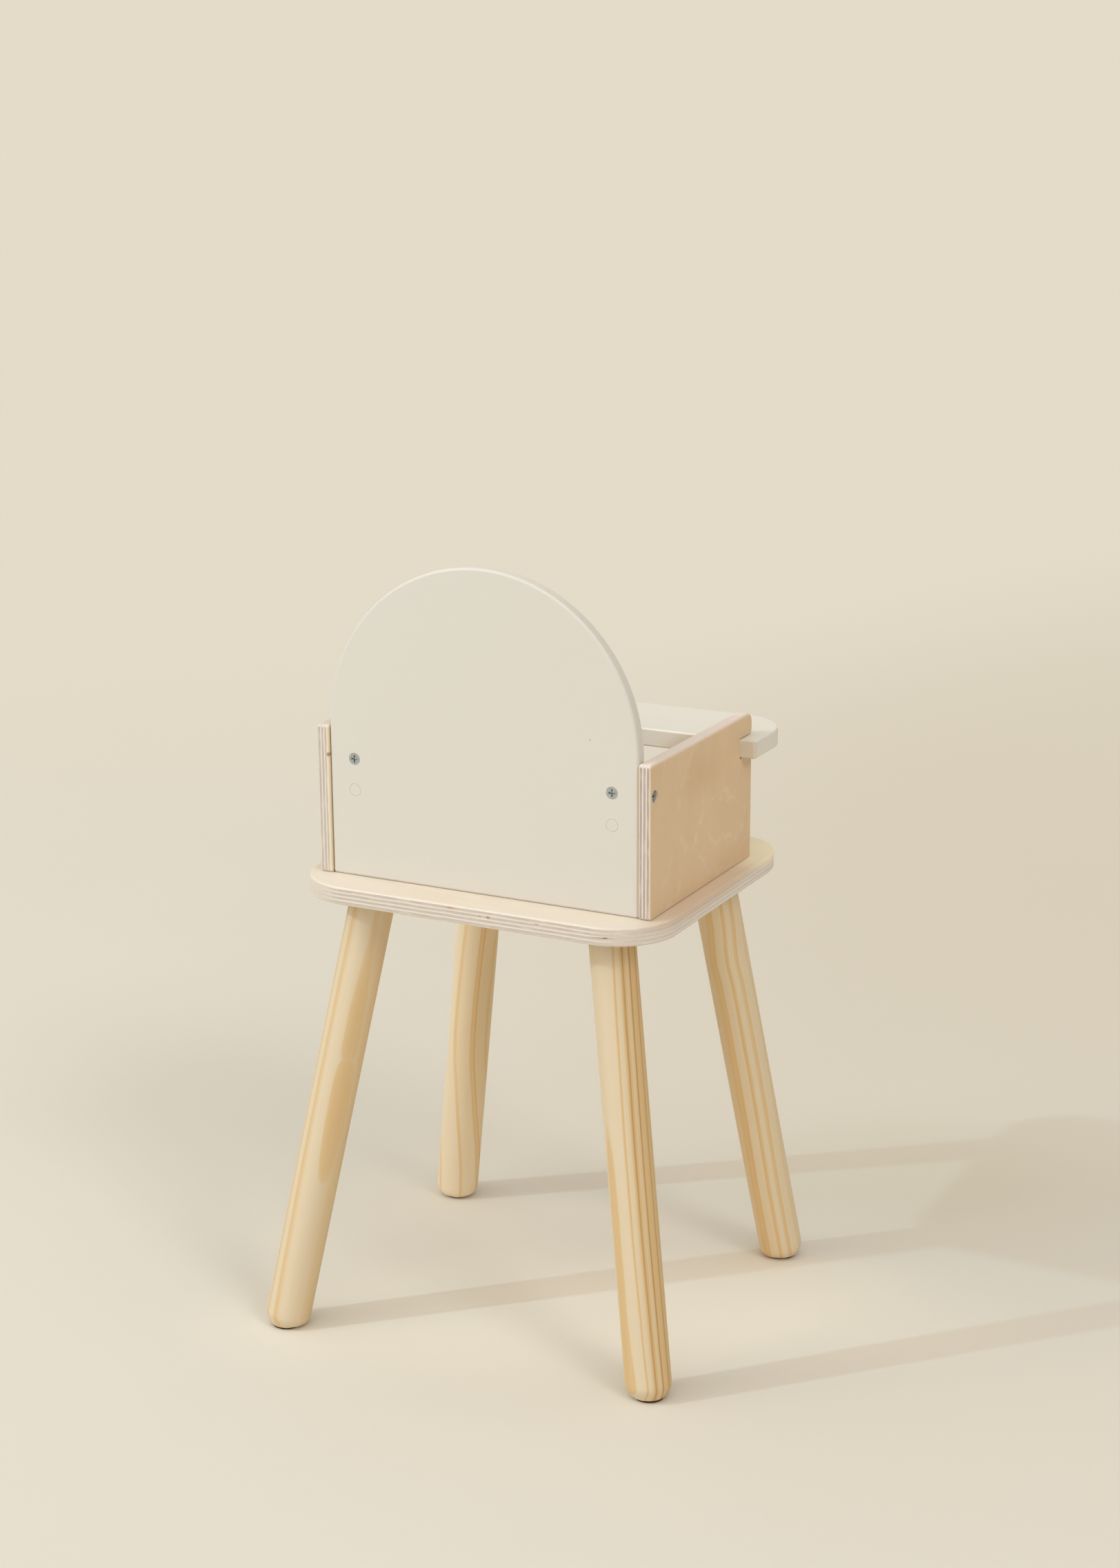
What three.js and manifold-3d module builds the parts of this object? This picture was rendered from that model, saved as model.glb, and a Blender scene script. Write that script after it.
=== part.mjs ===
// Doll high chair: a plywood seat board on four splayed round legs, two upright side panels,
// a painted back with a half-round top, and a painted tray that pulls forwards out of its slots.
//
// Millimetres, +Z up. The origin is on the floor under the middle of the seat board.
// The chair faces -Y, so its left side is +X.

import * as THREE from "three";
import { mergeVertices } from "three/addons/utils/BufferGeometryUtils.js";
import Module from "manifold-3d";

// Seat board
const seatWidth = 260;
const seatDepth = 225;
const seatThickness = 12;
const seatTopHeight = 310;
const seatCornerRadius = 40;
const seatEdgeRound = 1.5;

// Side panels, upright on the seat board
const panelThickness = 8.5;
const panelDepth = 154;
const panelHeight = 99;
const panelSideInset = 11;
const panelRearInset = 25;
const panelTopFrontRadius = 7;
const panelCornerRadius = 2;
const panelEdgeRound = 1.2;

// Back panel, between the side panels
const backThickness = 9;
const backSpringHeight = 100;
const backRecess = 1.5;
const backSideGap = 0.5;
const backEdgeRound = 1.8;

// Tray and the open-ended slots that hold it
const trayDepth = 65;
const trayThickness = 12;
const trayTopAboveSeat = 84;
const trayEar = 10.5;
const trayFrontRadius = 35;
const trayRearRadius = 2;
const trayEdgeRound = 1.2;
const slotDepth = 18.5;
const slotClearance = 0.3;
const slotMouthRadius = 3;

// Legs: round stock. Each leans by its own amount, outwards and towards its own end of the
// seat, over its whole run from the seat board to the floor.
const legDiameter = 30;
const legTopSideInset = 44;
const legTopEndInset = 37.5;
const rearLeftLegOut = 46;
const rearLeftLegBack = 53;
const rearRightLegOut = 45;
const rearRightLegBack = 36;
const frontLeftLegOut = 49;
const frontLeftLegForward = 37;
const frontRightLegOut = 38;
const frontRightLegForward = 48;
const legChamferHeight = 7.5;
const legChamferInset = 4;
const legRimRound = 1.2;

// Felt pads under the legs
const padDiameter = 19;
const padThickness = 2;

// Hanger bolts and threaded inserts that hold the legs to the seat board
const hangerDiameter = 6;
const hangerDepthInLeg = 30;
const insertDiameter = 11;
const insertLength = 7.5;
const insertSink = 1.6;

// Connector bolts: through each side panel, along the back panel, into a cross dowel
const connectorHeight = 78.5;
const connectorDiameter = 4;
const connectorLength = 28;
const connectorHeadDiameter = 7.6;
const connectorHeadHeight = 2.4;
const connectorBoreDepth = 4;
const crossDowelInset = 18;
const crossDowelDiameter = 8;
const crossDowelLength = 7.4;
const crossDowelSink = 0.1;

// Plugs that close the spare holes under the cross dowels
const plugDiameter = 8;
const plugLength = 6;
const plugDrop = 20.5;
const plugClearance = 0.15;

// Wood screws, driven up through the seat board into the panels
const screwDiameter = 3.5;
const screwLength = 34;
const screwHeadDiameter = 7;
const screwHeadHeight = 2.6;
const screwTipLength = 4;
const panelScrewInset = 25;
const backScrewSpacing = 120;

// Cross recess in the screws, bolts and cross dowels, as shares of the head's diameter
const recessReachShare = 0.3;
const recessWidthShare = 0.13;
const recessDepthShare = 0.2;

// Fit: the space kept round a fastener in its hole, and the overrun of a cut past a face
const holeClearance = 0.3;
const overrun = 1;

// Facets
const edgeSteps = 3;
const cornerSteps = 10;
const archSteps = 48;
const legSides = 32;
const padSides = 32;
const holeSides = 24;
const screwSides = 16;

// Finishes
const birch = { color: 0xe6cfa6, roughness: 0.6, metalness: 0 };
const whitePaint = { color: 0xe9e3d4, roughness: 0.5, metalness: 0 };
const pine = { color: 0xe2c38f, roughness: 0.55, metalness: 0 };
const zinc = { color: 0xb4b8bb, roughness: 0.35, metalness: 1 };
const felt = { color: 0x3d2a1e, roughness: 0.95, metalness: 0 };

// Places worked out from the sizes above
const seatUnderside = seatTopHeight - seatThickness;
const panelOuterX = seatWidth / 2 - panelSideInset;
const panelInnerX = panelOuterX - panelThickness;
const panelMidX = panelOuterX - panelThickness / 2;
const panelRearY = seatDepth / 2 - panelRearInset;
const panelFrontY = panelRearY - panelDepth;
const backHalfWidth = panelInnerX - backSideGap;
const backRearY = panelRearY - backRecess;
const backMidY = backRearY - backThickness / 2;
const trayHalfWidth = panelOuterX + trayEar;
const trayRearY = panelFrontY + slotDepth;
const trayTopZ = seatTopHeight + trayTopAboveSeat;
const connectorZ = seatTopHeight + connectorHeight;
const crossDowelX = backHalfWidth - crossDowelInset;
const legRadius = legDiameter / 2;
const legTopX = seatWidth / 2 - legTopSideInset;
const legTopY = seatDepth / 2 - legTopEndInset;

const wasm = await Module();
wasm.setup();

// A closed three.js geometry as a solid that can be cut and joined.
function toSolid(geometry) {
  const bare = geometry.index ? geometry.toNonIndexed() : geometry.clone();
  bare.deleteAttribute("normal");
  bare.deleteAttribute("uv");
  const merged = mergeVertices(bare);
  const vertProperties = new Float32Array(merged.attributes.position.array);
  const triVerts = new Uint32Array(merged.index.array);
  return new wasm.Manifold(new wasm.Mesh({ numProp: 3, vertProperties, triVerts }));
}

// The solid's triangles as a three.js geometry.
function toGeometry(solid) {
  const mesh = solid.getMesh();
  const geometry = new THREE.BufferGeometry();
  const stride = mesh.numProp;
  const count = mesh.vertProperties.length / stride;
  const position = new Float32Array(count * 3);
  for (let i = 0; i < count; i += 1) {
    position[3 * i] = mesh.vertProperties[stride * i];
    position[3 * i + 1] = mesh.vertProperties[stride * i + 1];
    position[3 * i + 2] = mesh.vertProperties[stride * i + 2];
  }
  geometry.setAttribute("position", new THREE.BufferAttribute(position, 3));
  geometry.setIndex(new THREE.BufferAttribute(new Uint32Array(mesh.triVerts), 1));
  geometry.computeVertexNormals();
  return geometry;
}

// One solid less each of the cutters in a list.
function cut(solid, cutters) {
  return cutters.reduce((rest, cutter) => rest.subtract(cutter), solid);
}

// A box between two corners, as a solid.
function boxSolid(low, high) {
  const size = new THREE.Vector3().subVectors(high, low);
  const middle = new THREE.Vector3().addVectors(low, high).multiplyScalar(0.5);
  const geometry = new THREE.BoxGeometry(size.x, size.y, size.z);
  geometry.translate(middle.x, middle.y, middle.z);
  return toSolid(geometry);
}

// A body of revolution along +Z from a profile of [radius, height] points that starts and ends
// on the axis, turned to a direction and moved to a start point.
function turned(profile, start, direction, sides) {
  const points = profile.map(([radius, height]) => new THREE.Vector2(radius, height));
  const geometry = new THREE.LatheGeometry(points, sides);
  const turn = new THREE.Quaternion();
  turn.setFromUnitVectors(new THREE.Vector3(0, 1, 0), direction.clone().normalize());
  geometry.applyQuaternion(turn);
  geometry.translate(start.x, start.y, start.z);
  return geometry;
}

// A plain round rod or drill from a start point along a direction.
function rod(radius, length, start, direction, sides) {
  const profile = [[0, 0], [radius, 0], [radius, length], [0, length]];
  return toSolid(turned(profile, start, direction, sides));
}

// A rectangle with its own radius at each corner, counted from the low x, low y corner
// anticlockwise.
function roundedOutline(lowX, lowY, highX, highY, radii) {
  const [a, b, c, d] = radii;
  const shape = new THREE.Shape();
  shape.moveTo(lowX + a, lowY);
  shape.lineTo(highX - b, lowY);
  shape.absarc(highX - b, lowY + b, b, -Math.PI / 2, 0, false);
  shape.lineTo(highX, highY - c);
  shape.absarc(highX - c, highY - c, c, 0, Math.PI / 2, false);
  shape.lineTo(lowX + d, highY);
  shape.absarc(lowX + d, highY - d, d, Math.PI / 2, Math.PI, false);
  shape.lineTo(lowX, lowY + a);
  shape.absarc(lowX + a, lowY + a, a, Math.PI, 1.5 * Math.PI, false);
  return shape;
}

// A board of one thickness over an outline, with both edges rounded, from z = 0 upwards.
function board(shape, thickness, round, curveSegments) {
  const geometry = new THREE.ExtrudeGeometry(shape, {
    depth: thickness - 2 * round,
    bevelEnabled: true,
    bevelThickness: round,
    bevelSize: round,
    bevelOffset: -round,
    bevelSegments: edgeSteps,
    curveSegments,
  });
  geometry.translate(0, 0, round);
  return geometry;
}

// A cross recess to be cut into a head: two bars that reach down from the head's face, the
// same both ways. The face's outward direction and one bar's direction are given.
function crossRecess(diameter, centre, outward, along) {
  const reach = diameter * recessReachShare;
  const width = diameter * recessWidthShare;
  const depth = diameter * recessDepthShare;
  const across = new THREE.Vector3().crossVectors(outward, along);
  const basis = new THREE.Matrix4().makeBasis(along, across, outward);
  basis.setPosition(centre);
  const bars = [[2 * reach, width], [width, 2 * reach]].map(([sizeX, sizeY]) => {
    const bar = new THREE.BoxGeometry(sizeX, sizeY, depth + overrun);
    bar.translate(0, 0, (overrun - depth) / 2);
    bar.applyMatrix4(basis);
    return toSolid(bar);
  });
  return bars[0].add(bars[1]);
}

const up = new THREE.Vector3(0, 0, 1);
const rearward = new THREE.Vector3(0, 1, 0);
const leftward = new THREE.Vector3(1, 0, 0);
const sides = [{ name: "left", sign: 1 }, { name: "right", sign: -1 }];
const ends = [{ name: "rear", sign: 1 }, { name: "front", sign: -1 }];
const legPlaces = ends.flatMap((end) => sides.map((side) => ({ end, side })));
const legSplays = {
  rear_left: { out: rearLeftLegOut, along: rearLeftLegBack },
  rear_right: { out: rearRightLegOut, along: rearRightLegBack },
  front_left: { out: frontLeftLegOut, along: frontLeftLegForward },
  front_right: { out: frontRightLegOut, along: frontRightLegForward },
};

const chair = new THREE.Group();

// Adds one named piece to the chair.
function addPiece(name, geometry, finish) {
  const mesh = new THREE.Mesh(geometry, new THREE.MeshStandardMaterial(finish));
  mesh.name = name;
  chair.add(mesh);
}

// Where a leg meets the underside of the seat board, and the way it runs from there.
function legAxis(end, side) {
  const top = new THREE.Vector3(side.sign * legTopX, end.sign * legTopY, seatUnderside);
  const { out, along } = legSplays[`${end.name}_${side.name}`];
  const run = new THREE.Vector3(side.sign * out, end.sign * along, -seatUnderside);
  return { top, down: run.normalize() };
}

// Wood screws up through the seat board: where each one starts, on the underside.
function screwPlaces() {
  const inPanels = sides.flatMap((side) => ends.map((end) => {
    const y = end.sign > 0 ? panelRearY - panelScrewInset : panelFrontY + panelScrewInset;
    return { name: `panel_screw_${end.name}_${side.name}`, x: side.sign * panelMidX, y };
  }));
  const inBack = sides.map((side) => {
    return { name: `back_screw_${side.name}`, x: side.sign * backScrewSpacing / 2, y: backMidY };
  });
  return [...inPanels, ...inBack];
}

// The clearance hole and countersink for a wood screw, from below the seat board upwards.
function screwHole(place) {
  const shank = screwDiameter / 2 + holeClearance;
  const head = screwHeadDiameter / 2 + holeClearance;
  const start = new THREE.Vector3(place.x, place.y, seatUnderside - overrun);
  const length = overrun + screwLength + holeClearance;
  const profile = [
    [0, 0],
    [head, 0],
    [head, overrun],
    [shank, overrun + screwHeadHeight],
    [shank, length],
    [0, length],
  ];
  return toSolid(turned(profile, start, up, screwSides));
}

// Seat board, with blind holes for the inserts and countersunk holes for the screws.
function makeSeatBoard() {
  const outline = roundedOutline(
    -seatWidth / 2, -seatDepth / 2, seatWidth / 2, seatDepth / 2,
    Array(4).fill(seatCornerRadius),
  );
  const geometry = board(outline, seatThickness, seatEdgeRound, cornerSteps);
  geometry.translate(0, 0, seatUnderside);
  const insertHoles = legPlaces.map(({ end, side }) => {
    const { top, down } = legAxis(end, side);
    const start = top.clone().addScaledVector(down, insertDiameter);
    const depth = insertSink + insertLength + holeClearance;
    const radius = insertDiameter / 2 + holeClearance;
    return rod(radius, insertDiameter + depth, start, down.clone().negate(), holeSides);
  });
  return toGeometry(cut(toSolid(geometry), [...insertHoles, ...screwPlaces().map(screwHole)]));
}

// The slot for the tray: open at the panel's front edge, square at its end, and rounded where
// the strip of panel above it ends.
function traySlot() {
  const shape = new THREE.Shape();
  const endY = trayRearY + slotClearance;
  const topZ = trayTopZ + slotClearance;
  const bottomZ = trayTopZ - trayThickness - slotClearance;
  const outsideY = panelFrontY - overrun;
  shape.moveTo(endY, bottomZ);
  shape.lineTo(endY, topZ);
  shape.lineTo(panelFrontY + slotMouthRadius, topZ);
  shape.absarc(panelFrontY + slotMouthRadius, topZ + slotMouthRadius, slotMouthRadius,
    -Math.PI / 2, -Math.PI, true);
  shape.lineTo(outsideY, topZ + slotMouthRadius);
  shape.lineTo(outsideY, bottomZ);
  shape.closePath();
  const depth = panelThickness + 2 * overrun;
  const geometry = new THREE.ExtrudeGeometry(shape, {
    depth, bevelEnabled: false, curveSegments: cornerSteps,
  });
  standOnSide(geometry, panelInnerX - overrun);
  return toSolid(geometry);
}

// Turns a flat board drawn as (y, z) on its side, so that its thickness runs along +X from x.
function standOnSide(geometry, x) {
  const turn = new THREE.Matrix4().makeBasis(rearward, up, leftward);
  turn.setPosition(x, 0, 0);
  geometry.applyMatrix4(turn);
}

// Stepped hole through the left panel for the connector bolt.
function connectorPanelHole() {
  const start = new THREE.Vector3(panelOuterX + overrun, backMidY, connectorZ);
  const bore = connectorHeadDiameter / 2 + holeClearance;
  const shank = connectorDiameter / 2 + holeClearance;
  const length = panelThickness + 2 * overrun;
  const shoulder = overrun + connectorBoreDepth;
  const profile = [
    [0, 0],
    [bore, 0],
    [bore, shoulder],
    [shank, shoulder],
    [shank, length],
    [0, length],
  ];
  return toSolid(turned(profile, start, leftward.clone().negate(), holeSides));
}

// Mirrors a solid to the chair's other side.
function onSide(solid, side) {
  return side.sign > 0 ? solid : solid.mirror([1, 0, 0]);
}

// Side panel: rounded at its top front corner and slotted for the tray.
function makeSidePanel(side) {
  const topZ = seatTopHeight + panelHeight;
  const outline = roundedOutline(panelFrontY, seatTopHeight, panelRearY, topZ,
    [panelCornerRadius, panelCornerRadius, panelCornerRadius, panelTopFrontRadius]);
  const geometry = board(outline, panelThickness, panelEdgeRound, cornerSteps);
  standOnSide(geometry, panelInnerX);
  const screwHoles = screwPlaces().filter(({ x }) => x > panelInnerX).map(screwHole);
  const cutters = [traySlot(), connectorPanelHole(), ...screwHoles];
  return toGeometry(onSide(cut(toSolid(geometry), cutters), side));
}

// Back panel outline: straight sides and a half-round top.
function backOutline() {
  const springZ = seatTopHeight + backSpringHeight;
  const shape = new THREE.Shape();
  shape.moveTo(-backHalfWidth, seatTopHeight);
  shape.lineTo(backHalfWidth, seatTopHeight);
  shape.lineTo(backHalfWidth, springZ);
  shape.absarc(0, springZ, backHalfWidth, 0, Math.PI, false);
  shape.closePath();
  return shape;
}

// Holes in the back panel: one for each cross dowel, plug and connector bolt.
function backHoles(side) {
  const forward = rearward.clone().negate();
  const face = (z) => new THREE.Vector3(side.sign * crossDowelX, backRearY + overrun, z);
  const dowelDepth = overrun + crossDowelSink + crossDowelLength + holeClearance;
  const plugDepth = overrun + plugLength + holeClearance;
  const dowelRadius = crossDowelDiameter / 2 + plugClearance;
  const plugRadius = plugDiameter / 2 + plugClearance;
  const boltReach = overrun + panelThickness + backSideGap + connectorLength;
  const boltStart = new THREE.Vector3(side.sign * (panelOuterX + overrun), backMidY, connectorZ);
  const inward = leftward.clone().multiplyScalar(-side.sign);
  const boltRadius = connectorDiameter / 2 + holeClearance;
  return [
    rod(dowelRadius, dowelDepth, face(connectorZ), forward, holeSides),
    rod(plugRadius, plugDepth, face(connectorZ - plugDrop), forward, holeSides),
    rod(boltRadius, boltReach, boltStart, inward, holeSides),
  ];
}

// Back panel.
function makeBackPanel() {
  const geometry = board(backOutline(), backThickness, backEdgeRound, archSteps);
  const stand = new THREE.Matrix4().makeBasis(leftward.clone().negate(), up, rearward);
  stand.setPosition(0, backRearY - backThickness, 0);
  geometry.applyMatrix4(stand);
  const screwHoles = screwPlaces().filter(({ x }) => Math.abs(x) < backHalfWidth).map(screwHole);
  return toGeometry(cut(toSolid(geometry), [...sides.flatMap(backHoles), ...screwHoles]));
}

// Tray: straight along its rear edge, well rounded at its two front corners.
function makeTray() {
  const outline = roundedOutline(
    -trayHalfWidth, trayRearY - trayDepth, trayHalfWidth, trayRearY,
    [trayFrontRadius, trayFrontRadius, trayRearRadius, trayRearRadius],
  );
  const geometry = board(outline, trayThickness, trayEdgeRound, cornerSteps);
  geometry.translate(0, 0, trayTopZ - trayThickness);
  return geometry;
}

// How far the square end of a leg lies beyond the level cut that seats the pad: just enough
// for the cut to reach the end's outer rim.
function legTrim(down) {
  const endRadius = legRadius - legChamferInset;
  return endRadius * Math.hypot(down.x, down.y) / -down.z;
}

// The middle of a leg's level foot face.
function footCentre(end, side) {
  const { top, down } = legAxis(end, side);
  const drop = seatUnderside - padThickness;
  return top.clone().addScaledVector(down, drop / -down.z);
}

// Leg: round stock with a chamfered end, cut level under the seat board and on its pad.
function makeLeg(end, side) {
  const { top, down } = legAxis(end, side);
  const foot = footCentre(end, side);
  const endPoint = foot.clone().addScaledVector(down, legTrim(down));
  const length = endPoint.distanceTo(top) + legDiameter;
  const rim = legRadius - legChamferInset;
  const softening = legRimRound / 2;
  const profile = [
    [0, 0],
    [rim - legRimRound, 0],
    [rim - softening / 2, softening / 2],
    [rim + softening / 2, legRimRound],
    [legRadius - softening, legChamferHeight - legRimRound],
    [legRadius - softening / 3, legChamferHeight],
    [legRadius, legChamferHeight + legRimRound],
    [legRadius, length],
    [0, length],
  ];
  const stock = toSolid(turned(profile, endPoint, down.clone().negate(), legSides));
  const reach = foot.distanceTo(top);
  const low = new THREE.Vector3(foot.x - reach, foot.y - reach, padThickness);
  const high = new THREE.Vector3(foot.x + reach, foot.y + reach, seatUnderside);
  const boltHole = rod(
    hangerDiameter / 2 + holeClearance,
    2 * (hangerDepthInLeg + holeClearance),
    top.clone().addScaledVector(down, -hangerDepthInLeg - holeClearance),
    down,
    holeSides,
  );
  return toGeometry(stock.intersect(boxSolid(low, high)).subtract(boltHole));
}

// Felt pad under a leg.
function makePad(end, side) {
  const foot = footCentre(end, side);
  const start = new THREE.Vector3(foot.x, foot.y, 0);
  const radius = padDiameter / 2;
  return toGeometry(rod(radius, padThickness, start, up, padSides));
}

// Hanger bolt: half in the leg, half in the insert, on the leg's own axis.
function makeHangerBolt(end, side) {
  const { top, down } = legAxis(end, side);
  const start = top.clone().addScaledVector(down, hangerDepthInLeg);
  const length = hangerDepthInLeg + insertSink + insertLength - holeClearance;
  const radius = hangerDiameter / 2;
  const point = radius / 2;
  const profile = [[0, 0], [point, 0], [radius, radius], [radius, length], [0, length]];
  return turned(profile, start, down.clone().negate(), screwSides);
}

// Threaded insert: a sleeve in the seat board, round the hanger bolt.
function makeInsert(end, side) {
  const { top, down } = legAxis(end, side);
  const start = top.clone().addScaledVector(down, -insertSink);
  const bore = hangerDiameter / 2 + holeClearance;
  const outer = insertDiameter / 2;
  const profile = [
    [bore, 0],
    [outer, 0],
    [outer, insertLength],
    [bore, insertLength],
    [bore, 0],
  ];
  return turned(profile, start, down.clone().negate(), holeSides);
}

// Wood screw with a countersunk head, driven upwards.
function makeWoodScrew(place) {
  const shank = screwDiameter / 2;
  const start = new THREE.Vector3(place.x, place.y, seatUnderside + holeClearance);
  const length = screwLength - 2 * holeClearance;
  const profile = [
    [0, 0],
    [screwHeadDiameter / 2, 0],
    [shank, screwHeadHeight],
    [shank, length - screwTipLength],
    [0, length],
  ];
  const body = toSolid(turned(profile, start, up, screwSides));
  const recess = crossRecess(screwHeadDiameter, start, up.clone().negate(), leftward);
  return toGeometry(body.subtract(recess));
}

// Connector bolt: its pan head sits in the panel's bore, its end in the cross dowel.
function makeConnectorBolt(side) {
  const faceX = panelOuterX - connectorBoreDepth + connectorHeadHeight;
  const start = new THREE.Vector3(faceX + holeClearance, backMidY, connectorZ);
  const head = connectorHeadDiameter / 2;
  const shank = connectorDiameter / 2;
  const crown = connectorHeadHeight / 2;
  const length = connectorHeadHeight + connectorLength;
  const profile = [
    [0, 0],
    [head - crown, 0],
    [head, crown],
    [head, connectorHeadHeight],
    [shank, connectorHeadHeight],
    [shank, length],
    [0, length],
  ];
  const body = toSolid(turned(profile, start, leftward.clone().negate(), holeSides));
  const recess = crossRecess(connectorHeadDiameter, start, leftward, rearward);
  return toGeometry(onSide(body.subtract(recess), side));
}

// Cross dowel: a steel barrel across the back panel, threaded for the connector bolt, with its
// slotted end in line with the panel's rear face.
function makeCrossDowel(side) {
  const faceY = backRearY - crossDowelSink;
  const start = new THREE.Vector3(side.sign * crossDowelX, faceY, connectorZ);
  const forward = rearward.clone().negate();
  const barrel = rod(crossDowelDiameter / 2, crossDowelLength, start, forward, holeSides);
  const boltStart = new THREE.Vector3(start.x - crossDowelDiameter, backMidY, connectorZ);
  const boltRadius = connectorDiameter / 2 + holeClearance;
  const thread = rod(boltRadius, 2 * crossDowelDiameter, boltStart, leftward, holeSides);
  const recess = crossRecess(crossDowelDiameter, start, rearward, leftward);
  return toGeometry(barrel.subtract(thread).subtract(recess));
}

// Plug in the spare hole under a cross dowel, level with the panel's rear face.
function makePlug(side) {
  const start = new THREE.Vector3(side.sign * crossDowelX, backRearY, connectorZ - plugDrop);
  const radius = plugDiameter / 2;
  const profile = [[0, 0], [radius, 0], [radius, plugLength], [0, plugLength]];
  return turned(profile, start, rearward.clone().negate(), holeSides);
}

addPiece("seat_board", makeSeatBoard(), birch);
addPiece("back_panel", makeBackPanel(), whitePaint);
for (const side of sides) {
  addPiece(`side_panel_${side.name}`, makeSidePanel(side), birch);
  addPiece(`connector_bolt_${side.name}`, makeConnectorBolt(side), zinc);
  addPiece(`cross_dowel_${side.name}`, makeCrossDowel(side), zinc);
  addPiece(`back_plug_${side.name}`, makePlug(side), whitePaint);
}
addPiece("tray", makeTray(), whitePaint);
for (const { end, side } of legPlaces) {
  addPiece(`leg_${end.name}_${side.name}`, makeLeg(end, side), pine);
  addPiece(`felt_pad_${end.name}_${side.name}`, makePad(end, side), felt);
  addPiece(`hanger_bolt_${end.name}_${side.name}`, makeHangerBolt(end, side), zinc);
  addPiece(`leg_insert_${end.name}_${side.name}`, makeInsert(end, side), zinc);
}
for (const place of screwPlaces()) {
  addPiece(place.name, makeWoodScrew(place), zinc);
}

export default chair;
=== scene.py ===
"""Doll high chair in birch plywood, pine and white paint: the looks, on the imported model."""

import logging
import math
from dataclasses import dataclass, field
from enum import Enum

import bpy
import numpy as np
from mathutils import Matrix, Vector
from mathutils.geometry import tessellate_polygon


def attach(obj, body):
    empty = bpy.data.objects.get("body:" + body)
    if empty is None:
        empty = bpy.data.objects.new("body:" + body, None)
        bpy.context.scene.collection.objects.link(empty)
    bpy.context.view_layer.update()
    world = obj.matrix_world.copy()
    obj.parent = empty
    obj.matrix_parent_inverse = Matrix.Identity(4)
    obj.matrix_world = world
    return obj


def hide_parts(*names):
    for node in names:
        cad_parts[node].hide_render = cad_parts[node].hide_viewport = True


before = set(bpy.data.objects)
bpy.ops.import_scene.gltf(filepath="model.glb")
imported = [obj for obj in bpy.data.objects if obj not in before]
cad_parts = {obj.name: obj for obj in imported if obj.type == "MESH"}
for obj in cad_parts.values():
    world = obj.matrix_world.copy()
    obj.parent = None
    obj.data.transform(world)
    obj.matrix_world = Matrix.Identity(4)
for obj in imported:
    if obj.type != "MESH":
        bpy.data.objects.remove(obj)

log = logging.getLogger("high_chair")

# Metres in a millimetre, and the distance in metres within which two points are one
MM = 0.001
WELD = 1e-6

Colour = tuple[float, float, float, float]
Triple = tuple[float, float, float]
Pairs = tuple[tuple[float, float], ...]


def colour(red: float, green: float, blue: float) -> Colour:
    """A colour written as it shows on screen, turned into the shader's linear light.

    Args:
        red: Red from 0 to 255.
        green: Green from 0 to 255.
        blue: Blue from 0 to 255.

    Returns:
        Linear red, green and blue, with full opacity.
    """
    shares = np.array((red, green, blue), float) / 255
    linear = np.where(shares <= 0.04045, shares / 12.92, ((shares + 0.055) / 1.055) ** 2.4)
    return (*(float(share) for share in linear), 1.0)


# Shader maths


class Wire:
    """One output of a shader node, with arithmetic that adds the nodes it needs."""

    def __init__(self, bench: "Bench", socket: bpy.types.NodeSocket) -> None:
        """Keeps the output and the bench that its nodes are made on."""
        self.bench = bench
        self.socket = socket

    def _join(self, sum_name: str, *others: "float | tuple | Wire", first: bool = True) -> "Wire":
        """Adds one Math node, or one Vector Math node where this output is a vector.

        Args:
            sum_name: The node's operation.
            *others: The other terms.
            first: Whether this output is the first term.

        Returns:
            The node's result.
        """
        kind = "ShaderNodeVectorMath" if self.socket.type == "VECTOR" else "ShaderNodeMath"
        terms = (self, *others) if first else (*others, self)
        return self.bench.add(kind, {"operation": sum_name}, dict(enumerate(terms)))

    def __add__(self, other: "float | Wire") -> "Wire":
        """This and the other."""
        return self._join("ADD", other)

    def __mul__(self, other: "float | tuple | Wire") -> "Wire":
        """This times the other."""
        return self._join("MULTIPLY", other)

    def __sub__(self, other: "float | Wire") -> "Wire":
        """This less the other."""
        return self._join("SUBTRACT", other)

    def __rsub__(self, other: float) -> "Wire":
        """The other less this."""
        return self._join("SUBTRACT", other, first=False)

    def __abs__(self) -> "Wire":
        """This without its sign."""
        return self._join("ABSOLUTE")

    def sine(self) -> "Wire":
        """The sine of this."""
        return self._join("SINE")

    def lower_of(self, other: "float | Wire") -> "Wire":
        """The lower of this and the other."""
        return self._join("MINIMUM", other)

    def higher_of(self, other: "float | Wire") -> "Wire":
        """The higher of this and the other."""
        return self._join("MAXIMUM", other)

    def ramp(self, low: float, high: float) -> "Wire":
        """A smooth rise from 0 at low to 1 at high, or a fall where low is above high.

        Args:
            low: Where the result is 0.
            high: Where the result is 1.

        Returns:
            The rise, held between 0 and 1.
        """
        ends = {1: low, 2: high, 3: 0.0, 4: 1.0}
        if low > high:
            ends = {1: high, 2: low, 3: 1.0, 4: 0.0}
        return self.bench.add(
            "ShaderNodeMapRange", {"interpolation_type": "SMOOTHSTEP"}, {0: self, **ends}
        )

    def part(self, name: str) -> "Wire":
        """The X, Y or Z part of this vector."""
        return self.bench.add("ShaderNodeSeparateXYZ", {}, {0: self}, out=name)


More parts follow.
